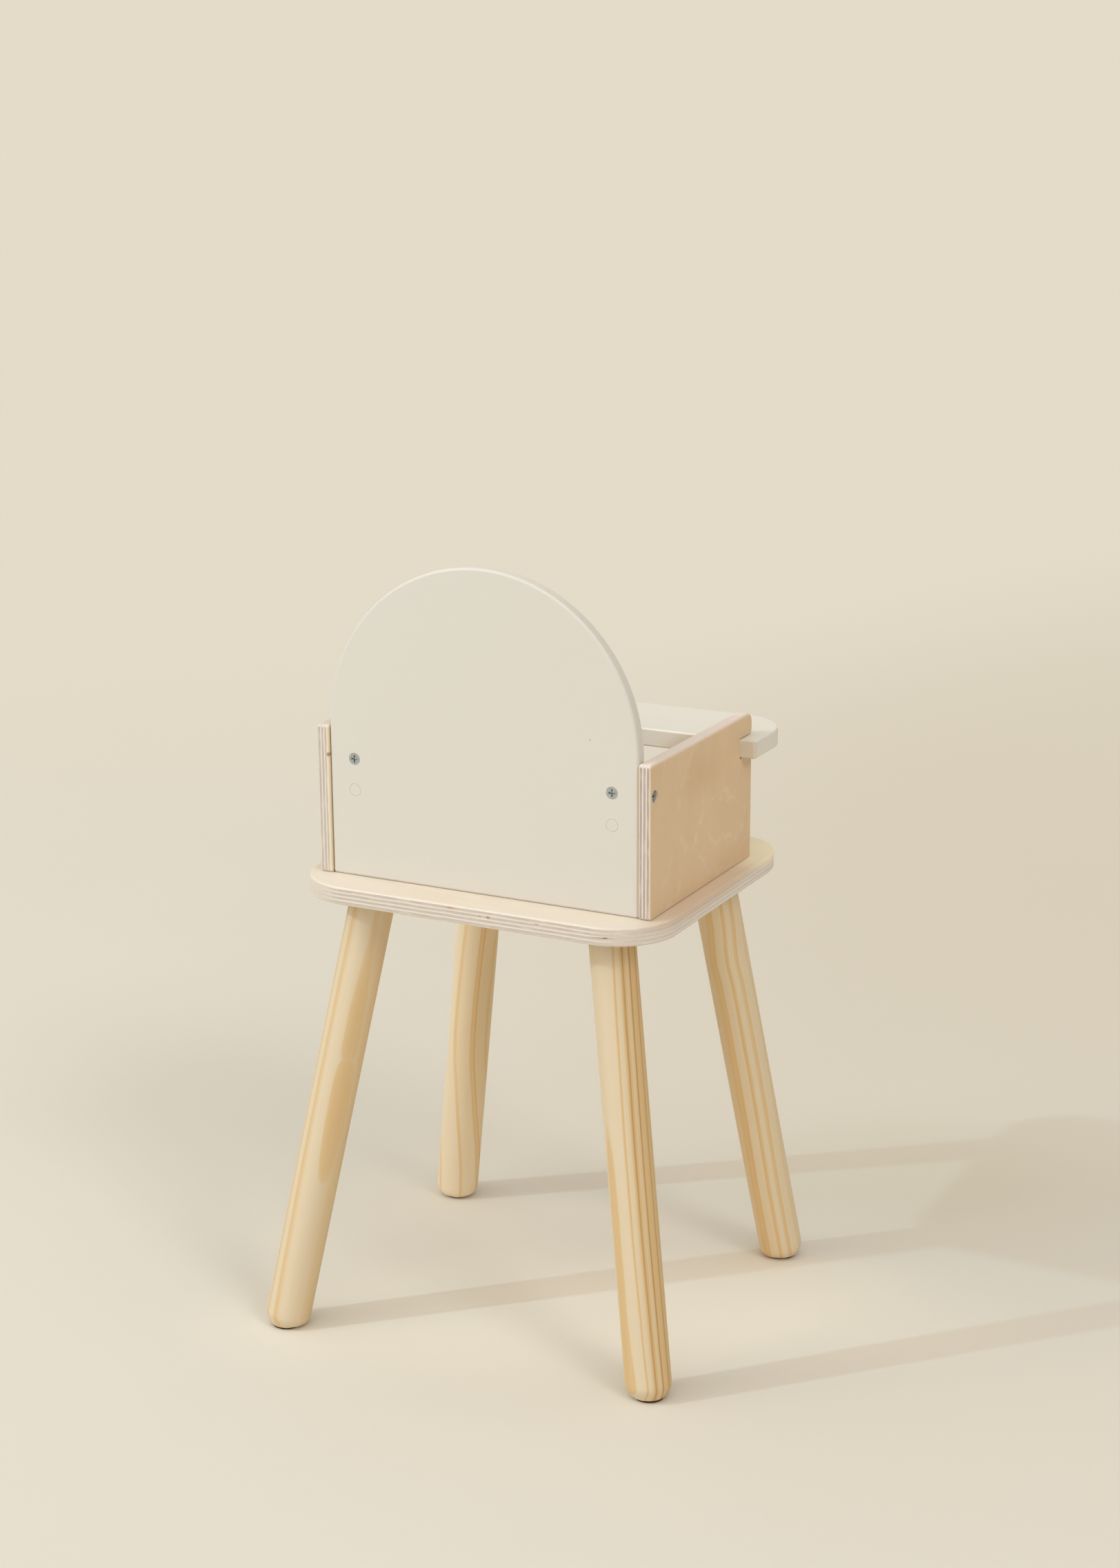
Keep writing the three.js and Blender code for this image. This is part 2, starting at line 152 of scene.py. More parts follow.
class Bench:
    """A material or the surroundings in the making, with the calls that add nodes."""

    def __init__(self, owner: "bpy.types.Material | bpy.types.World", shader: str) -> None:
        """Starts on the owner's nodes.

        Args:
            owner: What is being made.
            shader: The name of its main shader.
        """
        owner.use_nodes = True
        self.owner = owner
        self.tree = owner.node_tree
        self.shader = self.tree.nodes[shader]

    @classmethod
    def of_material(cls, name: str) -> "Bench":
        """A bench for a new material of that name."""
        return cls(bpy.data.materials.new(name), "Principled BSDF")

    def add(self, kind: str, settings: dict, inputs: dict, out: "int | str" = 0) -> Wire:
        """Adds any one node.

        Args:
            kind: The node's type.
            settings: The node's own properties, set first. "stops" holds a ramp's stops.
            inputs: Values or wires, by socket name or number.
            out: The output to give back, by name or number.

        Returns:
            That output.
        """
        node = self.tree.nodes.new(kind)
        for key, value in settings.items():
            if key == "stops":
                self._set_stops(node.color_ramp, value)
            else:
                setattr(node, key, value)
        for key, value in inputs.items():
            self.put(node.inputs[key], value)
        return Wire(self, node.outputs[out])

    @staticmethod
    def _set_stops(ramp: bpy.types.ColorRamp, stops: Pairs) -> None:
        """Sets a ramp's stops, each a place and a grey level.

        Args:
            ramp: The ramp.
            stops: Places from 0 to 1 with their levels.
        """
        while len(ramp.elements) < len(stops):
            ramp.elements.new(1.0)
        for element, (place, level) in zip(ramp.elements, stops):
            element.position = place
            element.color = (level, level, level, 1.0)

    def put(self, socket: bpy.types.NodeSocket, value: "float | tuple | Wire") -> None:
        """Links a wire to an input, or sets the input's own value.

        Args:
            socket: The input.
            value: The wire or the value.
        """
        if isinstance(value, Wire):
            self.tree.links.new(value.socket, socket)
        else:
            socket.default_value = value

    def dress(self, **inputs: "float | tuple | Wire") -> bpy.types.Material:
        """Sets the shader's inputs and gives back what was made.

        Args:
            **inputs: Values or wires by socket name, with _ for a space.

        Returns:
            The finished material.
        """
        for key, value in inputs.items():
            self.put(self.shader.inputs[key.replace("_", " ")], value)
        return self.owner

    def place(self) -> Wire:
        """Object coordinates, in metres."""
        return self.add("ShaderNodeTexCoord", {}, {}, out="Object")

    def attribute(self, name: str) -> Wire:
        """A vector that the piece's corners carry."""
        return self.add("ShaderNodeAttribute", {"attribute_name": name}, {}, out="Vector")

    def noise(self, place: Wire, scale: float, detail: float = 2.0, rough: float = 0.5) -> Wire:
        """Soft noise from 0 to 1 at a number of patches per metre.

        Args:
            place: Where the noise is read.
            scale: Patches per metre.
            detail: Octaves of finer noise.
            rough: How strong the finer noise is.

        Returns:
            The noise.
        """
        inputs = {"Vector": place, "Scale": scale, "Detail": detail, "Roughness": rough}
        return self.add("ShaderNodeTexNoise", {}, inputs)

    def mix(self, share: "float | Wire", first: "tuple | Wire", second: "tuple | Wire") -> Wire:
        """A colour between two.

        Args:
            share: 0 for the first colour, 1 for the second.
            first: The first colour.
            second: The second colour.

        Returns:
            The mixed colour.
        """
        return self.add(
            "ShaderNodeMix", {"data_type": "RGBA"}, {0: share, 6: first, 7: second}, out=2
        )

    def spot(self, place: Wire, centre: Triple, half: Triple, soft: float) -> Wire:
        """An oval mark: 1 inside and 0 outside, by the length of the way from its middle with
        each part divided by that half size.

        Args:
            place: Where the mark is read.
            centre: The mark's middle, in mm.
            half: Its half sizes, in mm.
            soft: The share over which it fades.

        Returns:
            The mark.
        """
        away = (place - tuple(c * MM for c in centre)) * tuple(1 / (h * MM) for h in half)
        far = self.add("ShaderNodeVectorMath", {"operation": "LENGTH"}, {0: away}, out="Value")
        return far.ramp(1 + soft, 1 - soft)

    def bump(self, height: Wire, depth: float) -> Wire:
        """A normal tilted by a height pattern.

        Args:
            height: The pattern, from 0 to 1.
            depth: The pattern's real height, in metres.

        Returns:
            The normal.
        """
        return self.add("ShaderNodeBump", {}, {"Height": height, "Distance": depth})


# Finishes


@dataclass(frozen=True)
class Mark:
    """An oval mark in the wood, the paint or the floor, or a patch of painted light or painted
    shade
    on them: its middle and its half sizes in mm, how strongly it shows, its colour, the share of
    its size over which it fades, and for a ring the inner share that is left out."""

    centre: Triple
    half: Triple
    depth: float = 0.7
    tone: Colour = colour(139, 110, 84)
    soft: float = 0.6
    hollow: float = 0.0

    def on(self, bench: Bench, place: Wire, tone: "Colour | Wire") -> Wire:
        """The colour with this mark laid over it. A ring is drawn out of true by a slow noise and
        broken up by another.

        Args:
            bench: The material in the making.
            place: Where the mark is read.
            tone: The colour under it.

        Returns:
            The colour.
        """
        if not self.hollow:
            share = bench.spot(place, self.centre, self.half, self.soft)
            return bench.mix(share * self.depth, tone, self.tone)
        out_of_true = 0.03
        bent = place + (bench.noise(place, scale=34.0, detail=1.0) - 0.5) * out_of_true
        inner = tuple(half * self.hollow for half in self.half)
        ring = bench.spot(bent, self.centre, self.half, self.soft) * (
            1 - bench.spot(bent, self.centre, inner, self.soft)
        )
        broken = bench.noise(place, scale=120.0, detail=3.0).ramp(0.42, 0.62)
        return bench.mix(ring * broken * self.depth, tone, self.tone)


def between_faces(depth: Wire, thickness: float, start: float, full: float) -> Wire:
    """0 on a board's two faces and 1 between them, as a product of a rise and a fall.

    Args:
        depth: Depth below the high face, in metres.
        thickness: The board's thickness, in metres.
        start: How deep the rise starts, in metres.
        full: How deep it is full, in metres.

    Returns:
        The share.
    """
    return depth.ramp(start, full) * depth.ramp(thickness - start, thickness - full)


@dataclass(frozen=True)
class BirchPly:
    """Birch plywood: a face veneer, and the plies where the board's edge shows. The thickness is
    in metres, and along is the way of the face veneer's grain."""

    name: str
    plies: int
    thickness: float
    along: Triple
    face: Colour = colour(228, 217, 202)
    figure: Colour = colour(223, 208, 187)
    pale: Colour = colour(239, 229, 214)
    long_ply: Colour = colour(233, 220, 204)
    long_streak: Colour = colour(212, 197, 181)
    end_ply: Colour = colour(203, 187, 174)
    end_streak: Colour = colour(178, 160, 147)
    marks: tuple[Mark, ...] = ()

    def material(self) -> bpy.types.Material:
        """Veneer on the faces, and plies on the edges by depth below the top face.

        Returns:
            The material.
        """
        bench = Bench.of_material(self.name)
        place = bench.place()
        edge = bench.attribute("edge")
        run, depth, end_on = edge.part("X"), edge.part("Y"), edge.part("Z")
        veneer, fibres = self._veneer(bench, place)
        edges = self._plies(bench, run, depth, end_on)
        on_edge = between_faces(depth, self.thickness, 0.0001, 0.0008)
        tone = bench.mix(on_edge, veneer, edges)
        for mark in self.marks:
            tone = mark.on(bench, place, tone)
        normal = bench.bump(fibres, depth=0.00005)
        return bench.dress(Base_Color=tone, Roughness=0.55, Normal=normal, IOR=1.45)

    def _veneer(self, bench: Bench, place: Wire) -> tuple[Wire, Wire]:
        """The face veneer: fine fibres, short flecks, and the faint pale loops of a peeled log,
        which are level lines of a slow noise stretched along the grain.

        Args:
            bench: The material in the making.
            place: Object coordinates.

        Returns:
            The colour and the height of the fibres.
        """
        fibre_stretch, loop_stretch = 0.07, 0.4
        long_way = tuple(fibre_stretch if share else 1.0 for share in self.along)
        loop_way = tuple(loop_stretch if share else 1.0 for share in self.along)
        fibres = bench.noise(place * long_way, scale=2400.0, detail=3.0, rough=0.6)
        flecks = bench.noise(place * long_way, scale=1300.0, detail=1.0)
        slow = bench.noise(place * loop_way, scale=16.0, detail=2.0, rough=0.45)
        loops = (slow * 60.0).sine()
        cloud = bench.noise(place * loop_way, scale=30.0, detail=2.0)
        tone = bench.mix(cloud.ramp(0.3, 0.75) * 0.5, self.face, self.figure)
        tone = bench.mix(loops.ramp(0.8, 1.0) * cloud.ramp(0.4, 0.65) * 0.25, tone, self.pale)
        tone = bench.mix(fibres.ramp(0.5, 0.8) * 0.16, tone, self.figure)
        tone = bench.mix(flecks.ramp(0.66, 0.8) * 0.14, tone, self.end_streak)
        return tone, fibres

    def _plies(self, bench: Bench, run: Wire, depth: Wire, end_on: Wire) -> Wire:
        """The board's edge. The sine of the depth is above 0 in every other ply, and counts from
        0.42, so that the plies between are the thicker ones. The outermost plies run with the
        face veneer. A ply seen along its grain is pale and smooth, and one seen end on is greyer
        and full of pores. A thin darker line of glue lies between two plies.

        Args:
            bench: The material in the making.
            run: Distance along the edge, in metres.
            depth: Depth below the top face, in metres.
            end_on: 1 where the face veneer is seen end on, 0 where it is seen along its grain.

        Returns:
            The colour.
        """
        sheet = bench.add("ShaderNodeCombineXYZ", {}, {0: run, 1: depth, 2: end_on * 0.01})
        ply, thin_from, sharpness, waver = self.thickness / self.plies, 0.42, 2.4, 0.00045
        wobble = bench.noise(sheet * (1.0, 3.0, 1.0), scale=60.0, detail=3.0) - 0.5
        wave = ((depth + wobble * waver) * (math.pi / ply)).sine()
        outer = depth.ramp(ply, ply * 0.7).higher_of(
            depth.ramp(self.thickness - ply, self.thickness - ply * 0.7)
        )
        level = ((wave - thin_from) * sharpness + 0.5).higher_of(outer)
        level = level.higher_of(0.0).lower_of(1.0)
        shown_end = end_on * level + (1 - end_on) * (1 - level)
        contrast = 1 - end_on * 0.5
        shown_end = (shown_end - 0.5) * contrast + 0.5
        streaks = bench.noise(sheet * (0.05, 1.0, 1.0), scale=3400.0, detail=4.0, rough=0.75)
        pores = bench.noise(sheet * (0.3, 0.8, 1.0), scale=3000.0, detail=3.0, rough=0.7)
        slow = bench.noise(sheet * (0.12, 1.0, 1.0), scale=600.0, detail=2.0)
        pale = bench.mix(streaks.ramp(0.42, 0.75) * 0.7, self.long_ply, self.long_streak)
        grey = bench.mix(pores.ramp(0.42, 0.7) * 0.4, self.end_ply, self.end_streak)
        grey = bench.mix(streaks.ramp(0.5, 0.68) * 0.6, grey, self.end_streak)
        grey = bench.mix(slow.ramp(0.45, 0.8) * 0.5, grey, self.long_ply)
        tone = bench.mix(shown_end, pale, grey)
        glue = abs(wave - thin_from).ramp(0.3, 0.0)
        return bench.mix(glue * (1 - outer) * contrast * 0.25, tone, self.end_streak)


@dataclass(frozen=True)
class WhitePaint:
    """Warm white paint, thinner on the board's edge, where streaks of the wood show a little
    through it. The thickness is the board's, in metres, and bare is how strongly they show."""

    name: str
    thickness: float
    # The back takes this coat, darker than the tray's coat of the same paint: painted shade on the
    # upright back.
    coat: Colour = colour(224, 220, 211)
    thin: Colour = colour(221, 213, 204)
    bare: float = 0.35
    marks: tuple[Mark, ...] = ()

    def material(self) -> bpy.types.Material:
        """A near even coat with fine orange peel, faint fibres and a few specks.

        Returns:
            The material.
        """
        bench = Bench.of_material(self.name)
        place = bench.place()
        edge = bench.attribute("edge")
        run, depth = edge.part("X"), edge.part("Y")
        sheet = bench.add("ShaderNodeCombineXYZ", {}, {0: run * 0.04, 1: depth})
        streaks = bench.noise(sheet, scale=1500.0, detail=3.0)
        on_edge = between_faces(depth, self.thickness, 0.0004, 0.0016)
        clouds = bench.noise(place, scale=9.0, detail=2.0)
        peel = bench.noise(place, scale=1400.0, detail=2.0)
        grain = bench.noise(place * (1.0, 1.0, 0.06), scale=700.0, detail=2.0)
        tone = bench.mix(clouds.ramp(0.3, 0.8) * 0.12, self.coat, self.thin)
        tone = bench.mix(on_edge * streaks.ramp(0.3, 0.7) * self.bare, tone, self.thin)
        for mark in self.marks:
            tone = mark.on(bench, place, tone)
        shine = bench.noise(place, scale=60.0) * 0.12 + 0.44
        normal = bench.bump(peel * 0.6 + grain * 0.4, depth=0.00004)
        return bench.dress(Base_Color=tone, Roughness=shine, Normal=normal, IOR=1.45)


@dataclass(frozen=True)
class Pine:
    """Sanded pine on a round leg, whose corners carry how far each point is through the rings.
    The painted light lift makes one leg's wood paler than another's, painted light for the front
    legs, which lie in more shade. The reach is the farthest place, in metres, that the lines of
    brown can hold."""

    name: str
    rings: Pairs
    sides: Pairs = ()
    lift: float = 1.0
    early: Colour = colour(225, 208, 179)
    tan: Colour = colour(219, 186, 133)
    late: Colour = colour(180, 134, 82)
    reach: float = 0.028

    def material(self) -> bpy.types.Material:
        """Pale early wood that turns tan and then brown where the surface crosses a year's late
        wood. The rings waver by two slow noises, and fine fibres run down the leg.

        Returns:
            The material.
        """
        bench = Bench.of_material(self.name)
        grain = bench.attribute("grain")
        slow = bench.noise(grain * (60.0, 60.0, 12.0), scale=1.0, detail=2.0) - 0.5
        fine = bench.noise(grain * (2200.0, 2200.0, 90.0), scale=1.0, detail=3.0, rough=0.6)
        coarse = bench.noise(grain * (420.0, 420.0, 12.0), scale=1.0, detail=2.0)
        through = grain.part("X") + slow * 0.0007 + (fine - 0.5) * 0.0003
        level = self._level(bench, through, self.rings)
        # Where the sides are given, one half of the leg turns tan: partly the wood's tone, partly
        # painted shade.
        if self.sides:
            level = level.higher_of(self._level(bench, grain.part("Y"), self.sides))
        level = (level + (coarse - 0.5) * 0.16).higher_of(0.0)
        # Painted light: the lift makes every tone of the leg paler.
        early, tan, late = (
            tuple(part * self.lift for part in tone[:3]) + (1.0,)
            for tone in (self.early, self.tan, self.late)
        )
        tone = bench.mix((level * 2.0).lower_of(1.0), early, tan)
        tone = bench.mix((level * 2.0 - 1.0).higher_of(0.0), tone, late)
        tone = bench.mix(fine.ramp(0.5, 0.85) * 0.16, tone, tan)
        normal = bench.bump(level * 0.5 + fine * 0.5, depth=0.00006)
        shine = fine * 0.15 + 0.45
        return bench.dress(Base_Color=tone, Roughness=shine, Normal=normal, IOR=1.45)

    def _level(self, bench: Bench, along: Wire, stops: Pairs) -> Wire:
        """How brown the wood is: a line through the stops.

        Args:
            bench: The material in the making.
            along: Where the line is read, in metres.
            stops: Places in mm, rising, each with its level: 0 pale, 0.5 tan, 1 brown.

        Returns:
            The level.
        """
        shares = tuple(
            (min(max(0.5 + 0.5 * mm * MM / self.reach, 0.0), 1.0), level) for mm, level in stops
        )
        share = along * (0.5 / self.reach) + 0.5
        line = bench.add("ShaderNodeValToRGB", {"stops": shares}, {0: share})
        return bench.add("ShaderNodeRGBToBW", {}, {0: line})


@dataclass(frozen=True)
class Zinc:
    """Zinc-plated steel, a little dulled."""

    name: str = "zinc"
    bright: Colour = colour(190, 195, 199)
    dull: Colour = colour(155, 161, 165)

    def material(self) -> bpy.types.Material:
        """Cloudy plating with fine turning scratches.

        Returns:
            The material.
        """
        bench = Bench.of_material(self.name)
        place = bench.place()
        clouds = bench.noise(place, scale=700.0, detail=3.0)
        scratches = bench.noise(place * (1.0, 1.0, 0.2), scale=6000.0, detail=2.0)
        tone = bench.mix(clouds.ramp(0.35, 0.7) * 0.7, self.bright, self.dull)
        shine = clouds * 0.25 + 0.28
        normal = bench.bump(scratches, depth=0.00002)
        return bench.dress(Base_Color=tone, Metallic=1.0, Roughness=shine, Normal=normal)


@dataclass(frozen=True)
class Felt:
    """Dark brown pressed felt."""

    name: str = "felt"
    fibre: Colour = colour(100, 70, 48)
    gap: Colour = colour(56, 38, 26)

    def material(self) -> bpy.types.Material:
        """Matted fibres, darker in the hollows between them: partly the fibres' tone, partly
        painted shade.

        Returns:
            The material.
        """
        bench = Bench.of_material(self.name)
        place = bench.place()
        mat = bench.noise(place, scale=3000.0, detail=4.0, rough=0.7)
        # The hollows between the fibres take the darker colour: partly fibre tone, partly painted
        # shade.
        tone = bench.mix(mat.ramp(0.35, 0.7), self.gap, self.fibre)
        normal = bench.bump(mat, depth=0.0004)
        return bench.dress(Base_Color=tone, Roughness=0.95, Normal=normal, IOR=1.3)


# Surfaces


class Skin:
    """Patches of surface that are gathered, welded and made into one closed mesh."""

    def __init__(self) -> None:
        """Starts with no patches."""
        self.points: list[np.ndarray] = []
        self.normals: list[np.ndarray] = []
        self.notes: list[np.ndarray] = []
        self.faces: list[np.ndarray] = []
        self.count = 0

    def add(
        self, points: np.ndarray, normals: np.ndarray, notes: np.ndarray, faces: np.ndarray
    ) -> None:
        """Adds triangles.

        Args:
            points: N points.
            normals: N outward directions.
            notes: N vectors that the material reads.
            faces: M triangles of numbers into these points.
        """
        self.points.append(points.reshape(-1, 3))
        self.normals.append(np.broadcast_to(normals, points.shape).reshape(-1, 3))
        self.notes.append(notes.reshape(-1, 3))
        self.faces.append(faces + self.count)
        self.count += len(self.points[-1])

    def grid(self, points: np.ndarray, normals: np.ndarray, notes: np.ndarray) -> None:
        """Adds a grid of points as a sheet: each cell of four neighbours makes two triangles.

        Args:
            points: Rows by columns of points.
            normals: Their outward directions.
            notes: Vectors that the material reads.
        """
        rows, columns = points.shape[:2]
        number = np.arange(rows * columns).reshape(rows, columns)
        a, b = number[:-1, :-1].ravel(), number[:-1, 1:].ravel()
        c, d = number[1:, 1:].ravel(), number[1:, :-1].ravel()
        faces = np.concatenate([np.stack([a, b, c], 1), np.stack([a, c, d], 1)])
        self.add(points, normals, notes, faces)

    def mesh(self, name: str, note: str) -> bpy.types.Object:
        """Makes the points that lie within a micron of each other one, turns each triangle to its
        normals and makes the object.

        Args:
            name: The piece's name.
            note: The name under which the material reads the vectors.

        Returns:
            The object, at the origin.
        """
        points, normals = np.concatenate(self.points), np.concatenate(self.normals)
        notes, faces = np.concatenate(self.notes), np.concatenate(self.faces)
        keys = np.round(points / WELD).astype(np.int64)
        _, first, welded = np.unique(keys, axis=0, return_index=True, return_inverse=True)
        welded = welded.reshape(-1)
        corners = welded[faces]
        whole = (
            (corners[:, 0] != corners[:, 1])
            & (corners[:, 1] != corners[:, 2])
            & (corners[:, 2] != corners[:, 0])
        )
        faces = faces[whole]
        a, b, c = (points[faces[:, k]] for k in range(3))
        facing = (np.cross(b - a, c - a) * normals[faces].sum(1)).sum(1)
        faces[facing < 0] = faces[facing < 0][:, ::-1]
        data = bpy.data.meshes.new(name)
        data.from_pydata(points[first].tolist(), [], welded[faces].tolist())
        data.polygons.foreach_set("use_smooth", np.ones(len(faces), bool))
        layer = data.attributes.new(note, "FLOAT_VECTOR", "CORNER")
        layer.data.foreach_set("vector", notes[faces].astype(np.float32).ravel())
        ways = normals[faces].reshape(-1, 3)
        data.normals_split_custom_set((ways / np.linalg.norm(ways, axis=1)[:, None]).tolist())
        piece = bpy.data.objects.new(name, data)
        bpy.context.scene.collection.objects.link(piece)
        return piece


@dataclass(frozen=True)
class Stand:
    """Where a flat board's own axes lie: across, up its face, and through its thickness. The base
    is where its low face lies along the last, in mm."""

    across: Triple
    upward: Triple
    through: Triple
    base: float

    @classmethod
    def level(cls, base: float) -> "Stand":
        """A board that lies level."""
        return cls((1, 0, 0), (0, 1, 0), (0, 0, 1), base)

    @classmethod
    def facing_left(cls, base: float) -> "Stand":
        """An upright board whose high face looks to the chair's left."""
        return cls((0, 1, 0), (0, 0, 1), (1, 0, 0), base)

    @classmethod
    def facing_rear(cls, base: float) -> "Stand":
        """An upright board whose high face looks to the rear."""
        return cls((-1, 0, 0), (0, 0, 1), (0, 1, 0), base)

    def at(self, flat: np.ndarray, depth: np.ndarray) -> np.ndarray:
        """Points in the chair's frame: across times the first number, upward times the second,
        through times the height over the board's base.

        Args:
            flat: Points in the board's plane, in mm.
            depth: Heights over the board's low face, in mm.

        Returns:
            Points in metres.
        """
        across, upward, through = (np.array(a) for a in (self.across, self.upward, self.through))
        return MM * (
            flat[..., :1] * across + flat[..., 1:] * upward
            + (depth[..., None] + self.base) * through
        )

    def turn(self, flat: np.ndarray, rise: np.ndarray) -> np.ndarray:
        """Directions in the chair's frame, from parts in the board's plane and through it."""
        across, upward, through = (np.array(a) for a in (self.across, self.upward, self.through))
        return flat[..., :1] * across + flat[..., 1:] * upward + rise[..., None] * through


class Face(Enum):
    """The two faces of a board."""

    LOW = -1
    HIGH = 1


@dataclass(frozen=True)
class Hole:
    """A round hole in a board's face, as radii and depths from the face inwards, in mm."""

    centre: tuple[float, float]
    face: Face
    profile: Pairs


@dataclass
class Line:
    """A closed line in a board's plane, anticlockwise, with its outward directions, in mm."""

    points: np.ndarray = field(default_factory=lambda: np.zeros((0, 2)))
    ways: np.ndarray = field(default_factory=lambda: np.zeros((0, 2)))

    def arc(
        self, centre: tuple[float, float], radius: float, start: float, end: float, steps: int
    ) -> None:
        """Adds an arc: the centre plus the radius times (cos, sin) of an angle that runs evenly
        from start to end. Where the angle falls, the corner is an inner one, and the outward
        direction is towards the centre.

        Args:
            centre: The arc's centre.
            radius: Its radius, 0 for a sharp corner.
            start: First angle, in degrees.
            end: Last angle, in degrees.
            steps: Number of steps.
        """
        angle = np.radians(np.linspace(start, end, steps + 1))
        way = np.stack([np.cos(angle), np.sin(angle)], 1)
        sign = 1.0 if end > start else -1.0
        self.points = np.concatenate([self.points, np.array(centre) + radius * way])
        self.ways = np.concatenate([self.ways, sign * way])


@dataclass
class Board:
    """A flat board in mm: an outline carried round a profile with two rounded edges, and two
    faces. The grain is the face veneer's way in the board's plane, and the lip is the width of
    the broken edge round each hole."""

    line: Line
    thickness: float
    edge_round: float
    stand: Stand
    holes: tuple[Hole, ...] = ()
    grain: tuple[float, float] = (1.0, 0.0)
    edge_steps: int = 6
    hole_steps: int = 48
    lip: float = 0.06

    def build(self, name: str) -> bpy.types.Object:
        """Makes the board: wall, faces and holes.

        Args:
            name: The piece's name.

        Returns:
            The board.
        """
        skin = Skin()
        self._wall(skin)
        for face in Face:
            self._face(skin, face)
        for hole in self.holes:
            self._hole(skin, hole)
        return skin.mesh(name, "edge")

    def _wall(self, skin: Skin) -> None:
        """The board's wall: at each angle of the profile the outline is drawn in by
        r (1 - cos angle) and stands r (1 - sin angle) in from the face, with the outward
        direction turned by that angle.

        Args:
            skin: Where the patch goes.
        """
        points = np.concatenate([self.line.points, self.line.points[:1]])
        ways = np.concatenate([self.line.ways, self.line.ways[:1]])
        run = np.concatenate([[0.0], np.cumsum(np.linalg.norm(np.diff(points, axis=0), axis=1))])
        quarter = np.radians(np.linspace(0, 90, self.edge_steps + 1))
        angle = np.concatenate([-quarter[::-1], quarter])
        r = self.edge_round
        height = np.where(angle < 0, r + r * np.sin(angle), self.thickness - r + r * np.sin(angle))
        height[self.edge_steps] = r
        inset = r * (1 - np.cos(angle))
        flat = points[None] - inset[:, None, None] * ways[None]
        depth = np.broadcast_to(height[:, None], flat.shape[:2])
        level = np.broadcast_to(np.cos(angle)[:, None, None] * ways[None], flat.shape)
        rise = np.broadcast_to(np.sin(angle)[:, None], flat.shape[:2])
        skin.grid(
            self.stand.at(flat, depth), self.stand.turn(level, rise),
            self._notes(np.broadcast_to(run, depth.shape), depth,
                        np.broadcast_to(np.abs(ways @ np.array(self.grain)), depth.shape)),
        )

    def _notes(self, run: np.ndarray, height: np.ndarray, end_on: np.ndarray) -> np.ndarray:
        """What the plywood reads: metres along the edge, metres below the high face, and how
        far the wall faces along the face veneer's grain."""
        return np.stack([run * MM, (self.thickness - height) * MM, end_on], -1)

    def _face(self, skin: Skin, face: Face) -> None:
        """A flat face: the drawn-in outline less the rims of its holes, cut into triangles.

        Args:
            skin: Where the patch goes.
            face: Which face.
        """
        rim = self.line.points - self.edge_round * self.line.ways
        rings = [rim] + [
            np.array(hole.centre) + (hole.profile[0][0] + self.lip) * self._circle()[:-1]
            for hole in self.holes if hole.face is face
        ]
        flat = np.concatenate(rings)
        loops = [[Vector((x, y, 0.0)) for x, y in ring] for ring in rings]
        faces = np.array(tessellate_polygon(loops))
        height = np.full(len(flat), self.thickness if face is Face.HIGH else 0.0)
        way = self.stand.turn(np.zeros_like(flat), np.full(len(flat), float(face.value)))
        nothing = np.zeros(len(flat))
        skin.add(self.stand.at(flat, height), way, self._notes(nothing, height, nothing), faces)

    def _circle(self) -> np.ndarray:
        """A closed unit circle: the cosine and the sine of an even angle.

        Returns:
            Its points, the last one the same as the first.
        """
        angle = np.linspace(0, 2 * np.pi, self.hole_steps + 1)
        angle[-1] = 0.0
        return np.stack([np.cos(angle), np.sin(angle)], 1)

    def _hole(self, skin: Skin, hole: Hole) -> None:
        """A hole's wall and floor: each pair of profile points is a cone or a flat ring, the
        first one the broken edge between the face and the bore.

        Args:
            skin: Where the patches go.
            hole: The hole.
        """
        first = hole.profile[0][0]
        profile = [(first + self.lip, 0.0), (first, self.lip), *hole.profile[1:]]
        profile.append((0.0, profile[-1][1]))
        circle = self._circle()
        for (r0, d0), (r1, d1) in zip(profile[:-1], profile[1:]):
            radius, deep = np.array([r0, r1]), np.array([d0, d1])
            flat = np.array(hole.centre) + radius[:, None, None] * circle[None]
            inward, outward = d1 - d0, r0 - r1
            length = math.hypot(inward, outward)
            level = np.broadcast_to(-circle[None] * inward / length, flat.shape)
            rise = np.full(flat.shape[:2], outward / length * hole.face.value)
            base = self.thickness if hole.face is Face.HIGH else 0.0
            height = np.broadcast_to((base - deep * hole.face.value)[:, None], flat.shape[:2])
            nothing = np.zeros(flat.shape[:2])
            skin.grid(
                self.stand.at(flat, height), self.stand.turn(level, rise),
                self._notes(nothing, height, nothing),
            )


def box_line(
    low: tuple[float, float], high: tuple[float, float], radii: tuple[float, ...], steps: int
) -> Line:
    """A rectangle with its own radius at each corner, from the low corner anticlockwise.

    Args:
        low: Lowest corner, in mm.
        high: Highest corner, in mm.
        radii: The four corner radii.
        steps: Steps round each corner.

    Returns:
        The closed line.
    """
    a, b, c, d = radii
    line = Line()
    line.arc((low[0] + a, low[1] + a), a, 180, 270, steps)
    line.arc((high[0] - b, low[1] + b), b, 270, 360, steps)
    line.arc((high[0] - c, high[1] - c), c, 0, 90, steps)
    line.arc((low[0] + d, high[1] - d), d, 90, 180, steps)
    return line


def disc_line(centre: tuple[float, float], radius: float, steps: int) -> Line:
    """A whole circle. Its last point lies one step before its first, because a line closes itself.

    Args:
        centre: Its centre, in mm.
        radius: Its radius.
        steps: Steps round it.

    Returns:
        The closed line.
    """
    line = Line()
    line.arc(centre, radius, 0, 360 - 360 / steps, steps - 1)
    return line


# Sub-assemblies


